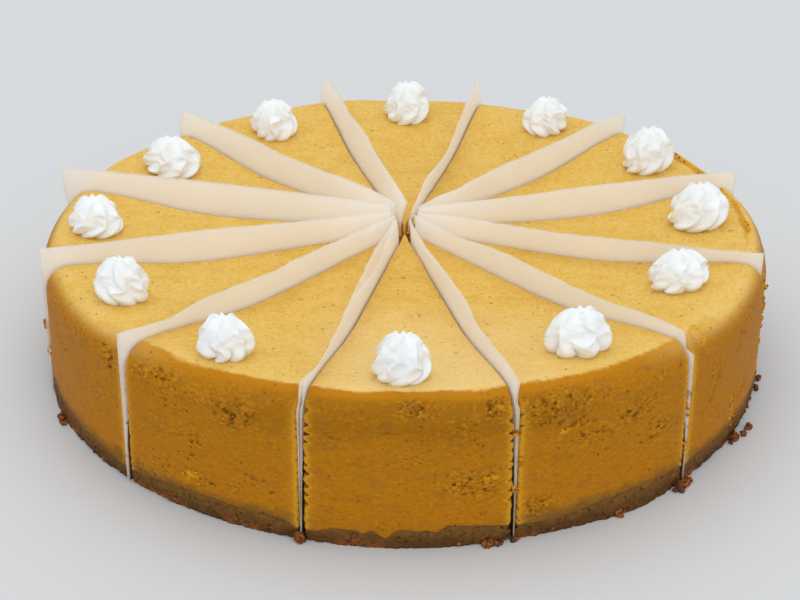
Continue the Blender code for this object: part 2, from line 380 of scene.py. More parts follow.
def columns_of(count):
    """Columns across the slice, as (which cut, kind, and its depth, turn or share of the way)."""
    edge = [("face", depth) for depth in CUT_DEPTHS]
    edge += [("edge", step / EDGE_STEPS * math.pi / 2) for step in range(EDGE_STEPS)]
    across = [("skin", share) for share in np.linspace(0, 1, count)]
    left = [(-1, kind, value) for kind, value in edge]
    right = [(1, kind, value) for kind, value in reversed(edge)]
    return left + [(0, kind, value) for kind, value in across] + right


def inset(rows, depth, low, high):
    """The section's points moved inwards by about the depth, still in their order."""
    radius, height = rows[:, 0], rows[:, 1]
    tall = high(radius) - low
    down = np.minimum(depth, 0.3 * tall)
    length = CAKE_RADIUS - TIP_RADIUS
    height = height + down * (1 - 2 * (height - low) / tall)
    return radius + depth * (1 - 2 * (radius - TIP_RADIUS) / length), height


def skin_share(kind, value, side):
    """How much of the skin's own colour a column shows: less beside a cut, and none inside it."""
    if kind == "face":
        return 0 * side
    if kind == "edge":
        return 0.85 - 0.35 * side
    near = min(value, 1 - value) * SLICE_ANGLE * CAKE_RADIUS / SKIN_FADE
    return 1 - 0.5 * math.exp(-near) * side


print(len(columns_of(0)), "columns bend into the two cuts")

# %% [markdown]
# ## Closing a sleeve
#
# A part that is printed or weighed has to be a closed solid, so the grid's open ends each get one face,
# cut into triangles. The mesh also carries values for its points, such as where the skin is torn. The
# materials and the relief read them later, which keeps colour and shape together.

# %% Closing a sleeve
# bite holds how deeply a cut's edge is bitten, which paints shade into the hollows between bites
CARRIED = ("skin", "side", "torn", "bite", "pitted")


def close_sleeve(name, grid, extras):
    """Faces between the columns, a face over each open end, and the attributes that materials read."""
    columns, rows = grid.shape[:2]
    index = np.arange(columns * rows).reshape(columns, rows)
    ahead = np.roll(index, -1, axis=1)
    faces = np.stack([index[:-1], index[1:], ahead[1:], ahead[:-1]], axis=-1).reshape(-1, 4).tolist()
    faces += [index[0].tolist(), index[-1][::-1].tolist()]
    mesh = bpy.data.meshes.new(name)
    mesh.from_pydata(grid.reshape(-1, 3).tolist(), [], faces)
    for row, title in enumerate(CARRIED):
        values = np.ascontiguousarray(extras[:, row], dtype=np.float32)
        mesh.attributes.new(title, "FLOAT", "POINT").data.foreach_set("value", values.ravel())
    body = bmesh.new()
    body.from_mesh(mesh)
    bmesh.ops.triangulate(body, faces=[face for face in body.faces if len(face.verts) > 4])
    bmesh.ops.recalc_face_normals(body, faces=body.faces)
    open_count = sum(1 for edge in body.edges if not edge.is_manifold)
    if open_count:
        print(name, "has", open_count, "edges that are open or shared by too many faces")
    body.to_mesh(mesh)
    body.free()
    mesh.shade_smooth()
    return mesh


def link(name, mesh):
    """A new object with this mesh, at the origin."""
    piece = bpy.data.objects.new(name, mesh)
    bpy.context.scene.collection.objects.link(piece)
    return piece


print("each point carries", ", ".join(CARRIED))

# %% [markdown]
# ## Building a sleeve
#
# The same function builds filling and crust. It is given the section's rows, the way a point settles,
# and how strongly each of its two edges is bitten. The seed comes from the slice's number, so every
# slice differs from the others but is the same on each run.

# %% The sleeve
def sleeve(name, rows, low, high, settle, middle, across, seed, shares):
    """One slice's mesh: rows round the section, columns across, and a flat face in each cut."""
    radius, height, side = rows.T
    half = radius * math.sin(SLICE_ANGLE / 2) - 0.05 * MM
    torn = [cut_gap(radius, height, side, seed + end, shares[end]) for end in (0, 1)]
    plain = [cut_gap(radius, height, side * 0.3, seed + end, shares[end]) for end in (0, 1)]
    torn_gaps = [np.minimum(gap, half) for gap, _ in torn]
    plain_gaps = [np.minimum(gap, half) for gap, _ in plain]
    rounding = [np.minimum(EDGE_ROUNDING * (0.5 + 0.5 * side), 0.45 * (half - gap)) for gap in torn_gaps]
    starts = [np.arcsin((gap + turn) / radius) for gap, turn in zip(torn_gaps, rounding)]
    grid = []
    extras = []
    for which, kind, value in columns_of(across):
        end = 0 if which < 0 else 1
        if kind == "skin":
            depth = 0 * radius
            first = -SLICE_ANGLE / 2 + starts[0]
            angle = first + value * (SLICE_ANGLE / 2 - starts[1] - first)
        else:
            turn = rounding[end]
            depth = value + 0 * radius if kind == "face" else turn * (1 - math.sin(value))
            gap = plain_gaps[end] if kind == "face" else torn_gaps[end] + turn * (1 - math.cos(value))
            angle = which * (SLICE_ANGLE / 2 - np.arcsin(gap / radius))
        inner_radius, inner_height = inset(rows, depth, low, high)
        outside = side * (kind != "face")
        points, scar, pitted = settle(inner_radius, inner_height, middle + angle, outside)
        grid.append(points)
        # How deeply this edge is bitten, kept for painted shade in the hollows between bites
        dark = torn[end][1] * (kind != "skin")
        extras.append(np.stack([skin_share(kind, value, side), side, scar, dark, pitted]))
    return close_sleeve(name, np.array(grid), np.array(extras))


print("a slice of filling spans", round(math.degrees(SLICE_ANGLE)), "degrees")

# %% [markdown]
# ## Settling
#
# A real cake rises unevenly, sinks and is squeezed. So no point stays where the section puts it: the top
# tilts with the rise, the side takes its marks, and the line between filling and crust wavers for both
# alike, so that they still meet. The crust's foot was squeezed outwards in three places.

# %% Where a point of the filling or the crust settles
def place(radius, angle, height):
    """Points in the frame from distance, angle and height."""
    return np.stack(np.broadcast_arrays(-radius * np.sin(angle), -radius * np.cos(angle), height), axis=-1)


def settle_filling(radius, height, angle, side):
    """Lifts the top where the filling rose, dents the side, and lets the foot follow the crust."""
    share = np.clip((height - CRUST_HEIGHT) / (RIM_HEIGHT - CRUST_HEIGHT), 0, 1.1)
    reach = (radius / CAKE_RADIUS) ** 2
    low = (1 - share) ** 2 * reach * crust_line(angle)
    outer = smooth(SHOULDER_RADIUS - 1 * MM, SHOULDER_RADIUS + 2 * MM, radius)
    rim = outer * share * wave(SHOULDER_WAVES, angle)
    raised, torn = ledge(angle, radius)
    on_top = height > TOP_FROM
    dent, scarred = scars(angle, height)
    ring, ring_torn = bubble_mark(angle, radius, height)
    pitted = pitting(angle, height) * smooth(0.02, 0.2, side)
    shown = smooth(0.5, 1.0, side)
    height = height + share * lift(angle, radius) + low + rim + np.where(on_top, raised, 0)
    torn = np.where(on_top, torn, 0) + shown * scarred + ring_torn
    return place(radius - shown * dent - 0.6 * ring, angle, height - 0.6 * ring), torn, pitted


# Where the foot of the crust was squeezed outwards, as (angle, how far in mm, half width in degrees)
FLARES = ((-35.0, 2.1, 9.0), (0.0, 0.9, 17.0), (68.0, 1.1, 12.0))


def settle_crust(radius, height, angle, side):
    """Lets the crust's upper edge follow the wavering line below the filling, and its foot flare."""
    share = height / CRUST_HEIGHT
    flare = 0 * radius
    for degrees, reach, wide in FLARES:
        apart = turned(angle, math.radians(degrees)) / math.radians(wide)
        flare = flare + reach * MM * np.exp(-apart ** 2)
    radius = radius + flare * (1 - share) ** 1.5 * (radius / CAKE_RADIUS) ** 4
    height = height + share * (radius / CAKE_RADIUS) ** 2 * crust_line(angle)
    return place(radius, angle, height), 0 * radius, 0 * radius


print("the crust's foot spreads at", ", ".join(f"{row[0]:.0f}" for row in FLARES), "degrees")

# %% [markdown]
# ## Twelve slices
#
# Now the twelve slices of filling and of crust are built in one loop. The crust gets more columns than
# the filling, because its crumbs are finer than anything in the custard.

# %% Twelve slices
ACROSS_FILLING = 100
ACROSS_CRUST = 130

fillings = []
crusts = []
for number in range(1, SLICES + 1):
    middle = (number - 1) * SLICE_ANGLE
    fillings.append(link(f"slice_{number:02d}", sleeve(
        "slice", FILLING_ROWS, CRUST_HEIGHT, top_height, settle_filling, middle, ACROSS_FILLING,
        10 * number, BITE_SHARES[number - 1])))
    crusts.append(link(f"crumb_base_{number:02d}", sleeve(
        "crumb_base", CRUST_ROWS, 0.0, lambda radius: CRUST_HEIGHT + 0 * radius, settle_crust,
        middle, ACROSS_CRUST, 10 * number + 3, BITE_SHARES[number - 1])))
print("slices have", len(fillings[0].data.polygons), "faces each, crusts", len(crusts[0].data.polygons))

# %% [markdown]
# ## Sums with sockets
#
# Node trees are easier to read as sums. This small class wraps an output socket, and Python's own
# operators then add Math nodes to the tree. Any other node comes from `add`, which sets the node's
# own settings first and then its sockets, each from a value or from another node.

# %% Socket maths
class Sock:
    """An output socket that can be used in sums."""

    def __init__(self, tree, output):
        self.tree = tree
        self.output = output

    def maths(self, operation, *values):
        return add(self.tree, "ShaderNodeMath", {"operation": operation}, dict(enumerate(values)))

    def __add__(self, other):
        return self.maths("ADD", self, other)

    def __sub__(self, other):
        return self.maths("SUBTRACT", self, other)

    def __rsub__(self, other):
        return self.maths("SUBTRACT", other, self)

    def __mul__(self, other):
        return self.maths("MULTIPLY", self, other)

    def __truediv__(self, other):
        return self.maths("DIVIDE", self, other)

    def __rtruediv__(self, other):
        return self.maths("DIVIDE", other, self)

    def __pow__(self, other):
        return self.maths("POWER", self, other)

    __radd__ = __add__
    __rmul__ = __mul__

    def apply(self, operation, *values):
        """Any other Math operation, with this socket first."""
        return self.maths(operation, self, *values)

    def from_to(self, low, high, start=0.0, end=1.0):
        """Rises smoothly from start to end as this goes from low to high."""
        settings = {"interpolation_type": "SMOOTHSTEP"}
        values = {"Value": self, 1: low, 2: high, 3: start, 4: end}
        return add(self.tree, "ShaderNodeMapRange", settings, values)

    def part(self, name):
        """Another output of the same node."""
        return Sock(self.tree, self.output.node.outputs[name])


def add(tree, kind, settings=None, values=None, output=0):
    """Adds a node with its settings, sets or links its sockets, and returns one output."""
    node = tree.nodes.new(kind)
    for name, value in (settings or {}).items():
        setattr(node, name, value)
    for name, value in (values or {}).items():
        if isinstance(value, Sock):
            tree.links.new(value.output, node.inputs[name])
        elif node.inputs[name].type == "RGBA":
            node.inputs[name].default_value = (*value, 1)
        else:
            node.inputs[name].default_value = value
    return Sock(tree, node.outputs[output]) if node.outputs else node


def blend(tree, share, first, second):
    """Mixes two colours."""
    values = {0: share, 6: first, 7: second}
    return add(tree, "ShaderNodeMix", {"data_type": "RGBA"}, values, output=2)


print("sockets can be used in sums with +, -, *, / and **")

# %% [markdown]
# ## Geometry Nodes trees
#
# A tree of Geometry Nodes is a rule that many pieces can share. Each tree here starts with the same
# few lines: named inputs, a group input and a group output. The modifier's inputs are set by their
# identifiers, the result is turned into a plain mesh, and the modifier goes away again.

# %% Making and applying a tree
# A material's input has no default value, so None stands for it
INPUT_KINDS = {float: "NodeSocketFloat", int: "NodeSocketInt", type(None): "NodeSocketMaterial"}


def start_tree(name, inputs):
    """A new tree with a geometry input and output, and a named input for each default value."""
    tree = bpy.data.node_groups.new(name, "GeometryNodeTree")
    tree.interface.new_socket("Geometry", in_out="INPUT", socket_type="NodeSocketGeometry")
    tree.interface.new_socket("Geometry", in_out="OUTPUT", socket_type="NodeSocketGeometry")
    for title, value in inputs.items():
        kind = INPUT_KINDS[type(value)]
        socket = tree.interface.new_socket(title, in_out="INPUT", socket_type=kind)
        if value is not None:
            socket.default_value = value
    group = tree.nodes.new("NodeGroupInput")
    return tree, {output.name: Sock(tree, output) for output in group.outputs if output.name}


def end_tree(tree, geometry, material):
    """Ends a tree: smooth shading, instances made real, and the material set."""
    smooth_shaded = add(tree, "GeometryNodeSetShadeSmooth", {}, {"Geometry": geometry})
    realized = add(tree, "GeometryNodeRealizeInstances", {}, {"Geometry": smooth_shaded})
    painted = add(tree, "GeometryNodeSetMaterial", {}, {"Geometry": realized, "Material": material})
    add(tree, "NodeGroupOutput", {}, {"Geometry": painted})


def grown(piece, tree, values):
    """Runs the tree on the piece with these inputs, and keeps the result as a plain mesh."""
    modifier = piece.modifiers.new(tree.name, "NODES")
    modifier.node_group = tree
    for item in tree.interface.items_tree:
        if item.item_type == "SOCKET" and item.in_out == "INPUT" and item.name in values:
            modifier[item.identifier] = values[item.name]
    graph = bpy.context.evaluated_depsgraph_get()
    mesh = bpy.data.meshes.new_from_object(piece.evaluated_get(graph))
    piece.modifiers.clear()
    old = piece.data
    piece.data = mesh
    bpy.data.meshes.remove(old)
    return mesh


print("a tree takes", len(INPUT_KINDS), "kinds of input")

# %% [markdown]
# ## Helpers for the materials
#
# Every finish here is a mix of soft clouds and dark specks. The specks come from a cell pattern: each
# cell has a random colour that decides whether it holds a speck, and how big it is. All patterns read
# Object coordinates, which are metres here, so a scale of 1000 gives features of about a millimetre.

# %% Shared material helpers
def start_material(name):
    """A new material: its tree, its Principled shader and its Object coordinates."""
    material = bpy.data.materials.new(name)
    material.use_nodes = True
    tree = material.node_tree
    shader = tree.nodes["Principled BSDF"]
    where = add(tree, "ShaderNodeTexCoord", output="Object")
    return material, tree, shader, where


def cloud(tree, where, size, detail=3.0, roughness=0.5):
    """Soft noise around 0.5, with features of about this size in metres."""
    values = {"Vector": where, "Scale": 1 / size, "Detail": detail, "Roughness": roughness}
    return add(tree, "ShaderNodeTexNoise", {}, values)


def specks(tree, where, spacing, size, share):
    """Dark specks: 1 inside a speck and 0 elsewhere. Only a share of the cells holds one."""
    values = {"Vector": where, "Scale": 1 / spacing, "Randomness": 1.0}
    cells = add(tree, "ShaderNodeTexVoronoi", {"feature": "F1"}, values)
    chance = add(tree, "ShaderNodeSeparateColor", {}, {"Color": cells.part("Color")})
    radius = chance.part("Green").from_to(0.0, 1.0, 0.35 * size / spacing, size / spacing)
    holds = chance.from_to(1 - share - 0.01, 1 - share + 0.01)
    inside = (radius - cells) / radius
    return inside.from_to(0.0, 0.5) * holds


def warped(tree, where, size, strength):
    """The coordinates, shifted by noise, so that round patterns become uneven."""
    values = {"Vector": where, "Scale": 1 / size, "Detail": 2.0}
    shift = add(tree, "ShaderNodeTexNoise", {}, values).part("Color")
    centred = add(tree, "ShaderNodeVectorMath", {"operation": "SUBTRACT"}, {0: shift, 1: (0.5, 0.5, 0.5)})
    scaled = add(tree, "ShaderNodeVectorMath", {"operation": "SCALE"}, {0: centred, "Scale": strength})
    return add(tree, "ShaderNodeVectorMath", {"operation": "ADD"}, {0: where, 1: scaled})


def stretched(tree, where, scale):
    """The coordinates, scaled by three numbers."""
    return add(tree, "ShaderNodeMapping", {}, {"Vector": where, "Scale": scale})


def attribute(tree, name):
    """A value that the mesh carries for each of its points."""
    return add(tree, "ShaderNodeAttribute", {"attribute_name": name}, output="Fac")


def finish_shader(tree, shader, colour, roughness, height, strength, distance):
    """Links a material's colour and roughness, and bumps it by the height."""
    values = {"Strength": strength, "Distance": distance, "Height": height}
    bump = add(tree, "ShaderNodeBump", {}, values)
    for name, value in (("Base Color", colour), ("Roughness", roughness), ("Normal", bump)):
        tree.links.new(value.output, shader.inputs[name])


def report(material):
    """Says how many nodes a material took."""
    print(material.name, "has", len(material.node_tree.nodes), "nodes")
    return material


print(f"features of a millimetre take a scale of {1 / MM:.0f}")

# %% [markdown]
# ## The filling's colours
#
# The top is a satin skin, pale where it faced the oven. The side that the tin held is deeper, and orange
# along the rim. A photograph of a cake could be wrapped on, but it would blur up close and be the same
# on each slice. Noise stays sharp. The class below holds what all parts of the pattern read: where a
# point lies, what its mesh carries, and four clouds of different sizes.

# %% What the filling's pattern reads
TOP_COLOUR = (0.78, 0.50, 0.123)
TOP_WARM = (0.70, 0.41, 0.070)
# Painted highlight on the top's edge, just before the shoulder
TOP_RIM_HIGHLIGHT = (0.82, 0.57, 0.20)
# Painted reflection of the light on the top, in front
TOP_FRONT_REFLECTION = (0.84, 0.62, 0.29)
TOP_REFLECTION_SHARE = 0.40
RIM_COLOUR = (0.492, 0.190, 0.003)
SIDE_COLOUR = (0.440, 0.168, 0.005)
SIDE_LOW = (0.462, 0.171, 0.005)
# Painted shade high on the wall in front, under the rim
SIDE_UNDER_RIM_SHADE = (0.345, 0.132, 0.004)
SIDE_DARK = (0.24, 0.080, 0.003)
INNER_COLOUR = (0.62, 0.28, 0.015)
EDGE_COLOUR = (0.80, 0.41, 0.028)
TORN_COLOUR = (0.70, 0.33, 0.012)
SPICE = (0.15, 0.046, 0.009)
SPICE_GREY = (0.15, 0.085, 0.040)
# Painted shade in pits, in torn hollows and between bites
HOLLOW_SHADE = (0.10, 0.032, 0.004)
SOAKED = (0.20, 0.094, 0.018)


class Fields:
    """What the filling's colours read at a point: its place, the mesh's values and four clouds."""

    def __init__(self, tree, where):
        self.tree = tree
        self.x = add(tree, "ShaderNodeSeparateXYZ", {}, {"Vector": where})
        self.y, self.z = self.x.part("Y"), self.x.part("Z")
        self.side = attribute(tree, "side")
        self.torn = attribute(tree, "torn")
        self.radius = (self.x * self.x + self.y * self.y).apply("SQRT")
        self.across = (self.x * self.x).apply("SQRT")
        self.broad = cloud(tree, where, 24 * MM, 2.0)
        self.medium = cloud(tree, stretched(tree, where, (1, 1, 1.8)), 7 * MM, 3.0)
        self.fine = cloud(tree, stretched(tree, where, (1, 1, 1.6)), 1.5 * MM, 4.0, 0.6)
        self.clusters = cloud(tree, stretched(tree, where, (1, 1, 1.7)), 16 * MM, 2.0)


def brightness(colour):
    """How bright a colour looks, from 0 to 1."""
    red, green, blue = colour
    return 0.2126 * red + 0.7152 * green + 0.0722 * blue


print(f"the top is {brightness(TOP_COLOUR) / brightness(SIDE_COLOUR):.1f} times as bright as the side")

# %% [markdown]
# ## Top and wall
#
# The wall has painted shade high up in front, under the rim, and is a little redder low down. The top
# is mottled, and paler in front, a painted reflection of the light. The two meet along an uneven edge:
# it runs close behind the rim in front and at the back, but on the flanks it lies on the shoulder. Low
# down, butter from the crust has soaked into the wall.

# %% Top and wall
def wall_colour(at):
    """The side that the tin held, with painted shade high up in front, under the rim."""
    tree, broad, medium, fine = at.tree, at.broad, at.medium, at.fine
    low_wall = (at.z + (broad - 0.5) * (20 * MM)).from_to(28 * MM, 16 * MM)
    wall = blend(tree, low_wall, SIDE_COLOUR, SIDE_LOW)
    # Painted shade: darker high up on the wall in front, under the rim
    under_rim_shade = (at.z + (broad - 0.5) * (12 * MM)).from_to(32 * MM, 42 * MM)
    under_rim_shade = under_rim_shade * at.y.from_to(-102 * MM, -117 * MM)
    wall = blend(tree, under_rim_shade, wall, SIDE_UNDER_RIM_SHADE)
    wall = blend(tree, medium.from_to(0.50, 0.68, 0.0, 0.14), wall, SPICE_GREY)
    wall = blend(tree, fine.from_to(0.52, 0.68, 0.0, 0.30), wall, INNER_COLOUR)
    wall = blend(tree, fine.from_to(0.46, 0.34, 0.0, 0.28), wall, SIDE_DARK)
    return blend(tree, (at.side + (broad - 0.5) * 0.25).from_to(0.03, 0.36), RIM_COLOUR, wall)


def top_colour(at, edge):
    """The baked top, with a painted highlight in places towards its edge and a painted reflection in front.
    """
    tree, broad, medium, fine = at.tree, at.broad, at.medium, at.fine
    mottle = medium.from_to(0.4, 0.7) * 0.45 + fine.from_to(0.40, 0.62) * 0.6
    mottle = mottle + broad.from_to(0.45, 0.7) * 0.25
    top = blend(tree, mottle, TOP_COLOUR, TOP_WARM)
    # Painted highlight: paler in places towards the edge of the top
    rim_highlight = edge.from_to(104.0 * MM, 110.5 * MM, 0.0, 0.45) * medium.from_to(0.42, 0.6)
    top = blend(tree, rim_highlight, top, TOP_RIM_HIGHLIGHT)
    # Painted reflection: paler on the top in front
    front = at.y.from_to(-40 * MM, -75 * MM) * (at.across - at.x * 0.25).from_to(45 * MM, 15 * MM)
    return blend(tree, front * TOP_REFLECTION_SHARE, top, TOP_FRONT_REFLECTION)


def skin_colour(at):
    """Top and wall, joined along an uneven edge, with the soaked foot."""
    broad, medium, fine = at.broad, at.medium, at.fine
    edge = at.radius - (at.y + 120 * MM) * 0.045 + (broad - 0.5) * (7 * MM) + (fine - 0.5) * (2.4 * MM)
    flank = at.across.from_to(64 * MM, 100 * MM)
    soft_edge = (at.side + (broad - 0.5) * 0.25 + (fine - 0.5) * 0.15).from_to(0.02, 0.85)
    over = edge.from_to(110.5 * MM, 112.7 * MM) * (1 - flank) + soft_edge * flank
    held = (at.side + (broad - 0.5) * 0.2 + (fine - 0.5) * 0.1).from_to(0.35, 0.85)
    colour = blend(at.tree, over.apply("MAXIMUM", held), top_colour(at, edge), wall_colour(at))
    soak_edge = at.z + (medium - 0.5) * (7 * MM) + (fine - 0.5) * (3 * MM)
    soaked = soak_edge.from_to(11.0 * MM, 6.6 * MM, 0.0, 0.9) * at.side
    soaked = soaked * at.across.from_to(22 * MM, 42 * MM, 0.15, 1.0)
    return blend(at.tree, soaked, colour, SOAKED)


print(f"the rim is {brightness(RIM_COLOUR) / brightness(SIDE_COLOUR):.2f} times as bright as the side")

# %% [markdown]
# ## Specks, pits and tears
#
# Ground spice shows as specks of three sizes, two brown and one grey. Pits get painted shade, darker than
# specks, and lie where the relief made them. Where skin is torn, the bright inside shows, with painted
# shade in its hollows. Each of these lies over the last one, in the order in which they came about.

# %% Specks, pits and tears
def pits_of(at, uneven, band, patch):
    """1 in a pit: in the patches, scattered along the side, and where the relief is deep."""
    pits = specks(at.tree, stretched(at.tree, uneven, (1, 1, 1.5)), 1.6 * MM, 0.62 * MM, 0.8) * patch
    pits = pits.apply("MAXIMUM", specks(at.tree, uneven, 2.8 * MM, 0.55 * MM, 0.30) * band)
    return pits.apply("MAXIMUM", attribute(at.tree, "pit").from_to(0.25, 0.8))


def flecked(at, uneven, colour, pits, patch):
    """The colour with spice, torn skin, and painted shade in pits, torn hollows and bites laid over it."""
    tree, fine, torn = at.tree, at.fine, at.torn
    small = specks(tree, uneven, 1.2 * MM, 0.38 * MM, 0.42)
    large = specks(tree, uneven, 2.1 * MM, 0.58 * MM, 0.50)
    grey = specks(tree, uneven, 5.5 * MM, 1.1 * MM, 0.35)
    faint = at.broad.from_to(0.35, 0.65, 0.55, 1.0)
    layers = (
        (grey * 0.35, SPICE_GREY),
        (small * 0.38 * faint, SPICE),
        (large * 0.60 * faint, SPICE),
        # Painted shade in the pits
        (pits * 0.70, HOLLOW_SHADE),
        (patch * fine.from_to(0.50, 0.60, 0.0, 0.55), INNER_COLOUR),
        (torn.from_to(0.1, 0.6, 0.0, 0.9) * fine.from_to(0.40, 0.50), TORN_COLOUR),
        # Painted shade in the hollows of torn skin
        (torn.from_to(0.3, 0.9, 0.0, 0.8) * fine.from_to(0.48, 0.41), HOLLOW_SHADE),
    )
    for share, layer in layers:
        colour = blend(tree, share, colour, layer)
    colour = blend(tree, attribute(tree, "skin"), EDGE_COLOUR, colour)
    # Painted shade in the hollows between the bites along each cut
    return blend(tree, attribute(tree, "bite").from_to(0.4, 1.0, 0.0, 0.75), colour, HOLLOW_SHADE)


def filling_material():
    """Baked pumpkin custard: pale skin on top, deeper and pitted at the side, with specks of spice."""
    material, tree, shader, where = start_material("baked_custard")
    at = Fields(tree, where)
    band = at.side.from_to(0.15, 0.6)
    patch = (at.clusters.from_to(0.56, 0.66, 0.0, 0.6) * band).apply("MAXIMUM", attribute(tree, "pitted"))
    uneven = warped(tree, where, 0.9 * MM, 0.9 * MM)
    pits = pits_of(at, uneven, band, patch)
    colour = flecked(at, uneven, skin_colour(at), pits, patch)
    gloss = at.fine.from_to(0.3, 0.7, 0.42, 0.55)
    grain = at.fine * (0.6 + patch * 1.2 + band * 0.6) + at.medium * 0.5 - pits * 1.2
    finish_shader(tree, shader, colour, gloss, grain, 0.6, 0.7 * MM)
    shader.inputs["Specular IOR Level"].default_value = 0.05
    return material


custard = report(filling_material())

# %% [markdown]
# ## The crumb crust
#
# Biscuit crumbs are pressed with butter into the tin. Where the filling soaked them they are grey brown
# and smooth, and further down they stay red brown and loose. Dark specks are painted shade in the gaps
# between the crumbs. The loose crumbs on the floor are redder, as they never got wet.

# %% The crumb crust
CRUST_SOAKED = (0.195, 0.092, 0.019)
CRUST_DARK = (0.110, 0.046, 0.012)
CRUST_CRUMB = (0.30, 0.095, 0.018)
# Painted shade in the gaps between crumbs
CRUST_GAP_SHADE = (0.022, 0.010, 0.004)
CRUMB_DARK = (0.055, 0.018, 0.007)
CRUMB_RED = (0.40, 0.120, 0.022)
CRUMB_BROWN = (0.11, 0.040, 0.014)


def crust_material():
    """Biscuit crumbs pressed with butter: soaked grey brown above, loose red brown crumbs below."""
    material, tree, shader, where = start_material("biscuit_crumb")
    height = add(tree, "ShaderNodeSeparateXYZ", {}, {"Vector": where}).part("Z")
    fine = cloud(tree, where, 1.3 * MM, 5.0, 0.65)
    medium = cloud(tree, where, 4 * MM, 3.0)
    broad = cloud(tree, where, 14 * MM, 2.0)
    wet = (height + (medium - 0.5) * (6 * MM)).from_to(0.8 * MM, 6.0 * MM)
    colour = blend(tree, wet * fine.from_to(0.25, 0.55), CRUST_DARK, CRUST_SOAKED)
    loose = broad.from_to(0.50, 0.62) * (height + (medium - 0.5) * (5 * MM)).from_to(4.0 * MM, 0.8 * MM)
    colour = blend(tree, loose * fine.from_to(0.42, 0.56), colour, CRUST_CRUMB)
    bits = specks(tree, warped(tree, where, 0.9 * MM, 0.9 * MM), 1.7 * MM, 0.75 * MM, 0.5)
    colour = blend(tree, bits * 0.35, colour, CRUST_CRUMB)
    # Painted shade: dark specks in the gaps between crumbs, and darker where the grain is low
    dots = specks(tree, warped(tree, where, 1.1 * MM, 1.0 * MM), 1.9 * MM, 0.6 * MM, 0.6)
    colour = blend(tree, dots * 0.7, colour, CRUST_GAP_SHADE)
    colour = blend(tree, fine.from_to(0.42, 0.32, 0.0, 0.7), colour, CRUST_GAP_SHADE)
    gloss = fine.from_to(0.3, 0.7, 0.5, 0.75)
    finish_shader(tree, shader, colour, gloss, fine - dots * 0.6, 0.8, 0.8 * MM)
    shader.inputs["Specular IOR Level"].default_value = 0.10
    return material


def crumb_material():
    """Loose crumbs, redder than the crust they fell from."""
    material, tree, shader, where = start_material("loose_crumb")
    fine = cloud(tree, where, 0.9 * MM, 4.0, 0.6)
    broad = cloud(tree, where, 5 * MM, 2.0)
    colour = blend(tree, fine.from_to(0.35, 0.65), CRUMB_DARK, CRUMB_RED)
    colour = blend(tree, broad.from_to(0.48, 0.58), colour, CRUMB_BROWN)
    finish_shader(tree, shader, colour, fine.from_to(0.3, 0.7, 0.5, 0.75), fine, 0.5, 0.3 * MM)
    shader.inputs["Specular IOR Level"].default_value = 0.15
    return material


biscuit = report(crust_material())
loose_crumb = report(crumb_material())

# %% [markdown]
# ## Parchment and cream
#
# Parchment is thin enough that light comes through it, so a translucent shader is mixed in, and half of
# it is clear. Light is also thrown to and fro between the two leaves, most near the middle, where twelve
# papers meet. Few bounces are traced in a render, so a faint steady glow stands in for it. Inside the
# cut, below about 35 mm, a paper is darkened with painted shade, as the narrow gap beside it lies in
# shade, and there it neither glows nor lets light through. Cream is white with a little light scattered
# below its surface, which softens its ridges.

# %% Parchment and cream
PAPER_COLOUR = (0.95, 0.93, 0.90)
PAPER_CLOUD = (0.93, 0.90, 0.87)
PAPER_LIGHT_THROUGH = (0.95, 0.93, 0.90)
PAPER_GLOW = 0.15
PAPER_SHINE = (0.40, 0.39, 0.39)
PAPER_SHINE_MIDDLE = (1.0, 0.98, 0.97)
PAPER_COVER = 0.50
# Painted shade on the paper inside the cut, for the dark gap beside it
PAPER_GAP_SHADE = (0.15, 0.060, 0.010)
PAPER_THROUGH_SHARE = 0.55
PAPER_CLEAR = (1.0, 0.99, 0.96)
NO_SHINE = (0.0, 0.0, 0.0)
CREAM_COLOUR = (0.86, 0.87, 0.865)
CREAM_FOLD = (0.835, 0.845, 0.84)


def paper_material():
    """Parchment: thin, matt and see-through, with a faint glow, and darkened with painted shade inside the
    cut.
    """
    material, tree, shader, where = start_material("parchment")
    x = add(tree, "ShaderNodeSeparateXYZ", {}, {"Vector": where})
    y, z = x.part("Y"), x.part("Z")
    radius = (x * x + y * y).apply("SQRT")
    end = radius + z.from_to(12 * MM, 40 * MM, 0.0, 3.2 * MM)
    # Painted shade: dark inside the cut below about 35 mm, where the narrow gap beside the paper lies in
    # shade
    gap_shade = end.from_to(120.4 * MM, 119.8 * MM) * z.from_to(38 * MM, 33 * MM)
    clouds = cloud(tree, where, 5 * MM, 3.0)
    fibre = cloud(tree, where, 0.8 * MM, 3.0)
    colour = blend(tree, clouds.from_to(0.35, 0.7), PAPER_COLOUR, PAPER_CLOUD)
    colour = blend(tree, gap_shade, colour, PAPER_GAP_SHADE)
    shine = blend(tree, radius.from_to(42 * MM, 10 * MM), PAPER_SHINE, PAPER_SHINE_MIDDLE)
    shine = blend(tree, gap_shade, shine, NO_SHINE)
    tree.links.new(shine.output, shader.inputs["Emission Color"])
    finish_shader(tree, shader, colour, fibre.from_to(0.3, 0.7, 0.5, 0.65), fibre, 0.15, 0.1 * MM)
    shader.inputs["Specular IOR Level"].default_value = 0.2
    shader.inputs["Emission Strength"].default_value = PAPER_GLOW
    glow = add(tree, "ShaderNodeBsdfTranslucent", {}, {"Color": PAPER_LIGHT_THROUGH})
    glowing = PAPER_THROUGH_SHARE * (1 - gap_shade)
    both = add(tree, "ShaderNodeMixShader", {}, {0: glowing, 1: Sock(tree, shader.outputs[0]), 2: glow})
    clear = add(tree, "ShaderNodeBsdfTransparent", {}, {"Color": PAPER_CLEAR})
    cover = gap_shade * (1 - PAPER_COVER) + PAPER_COVER
    thin = add(tree, "ShaderNodeMixShader", {}, {0: cover, 1: clear, 2: both})
    tree.links.new(thin.output, tree.nodes["Material Output"].inputs["Surface"])
    return material


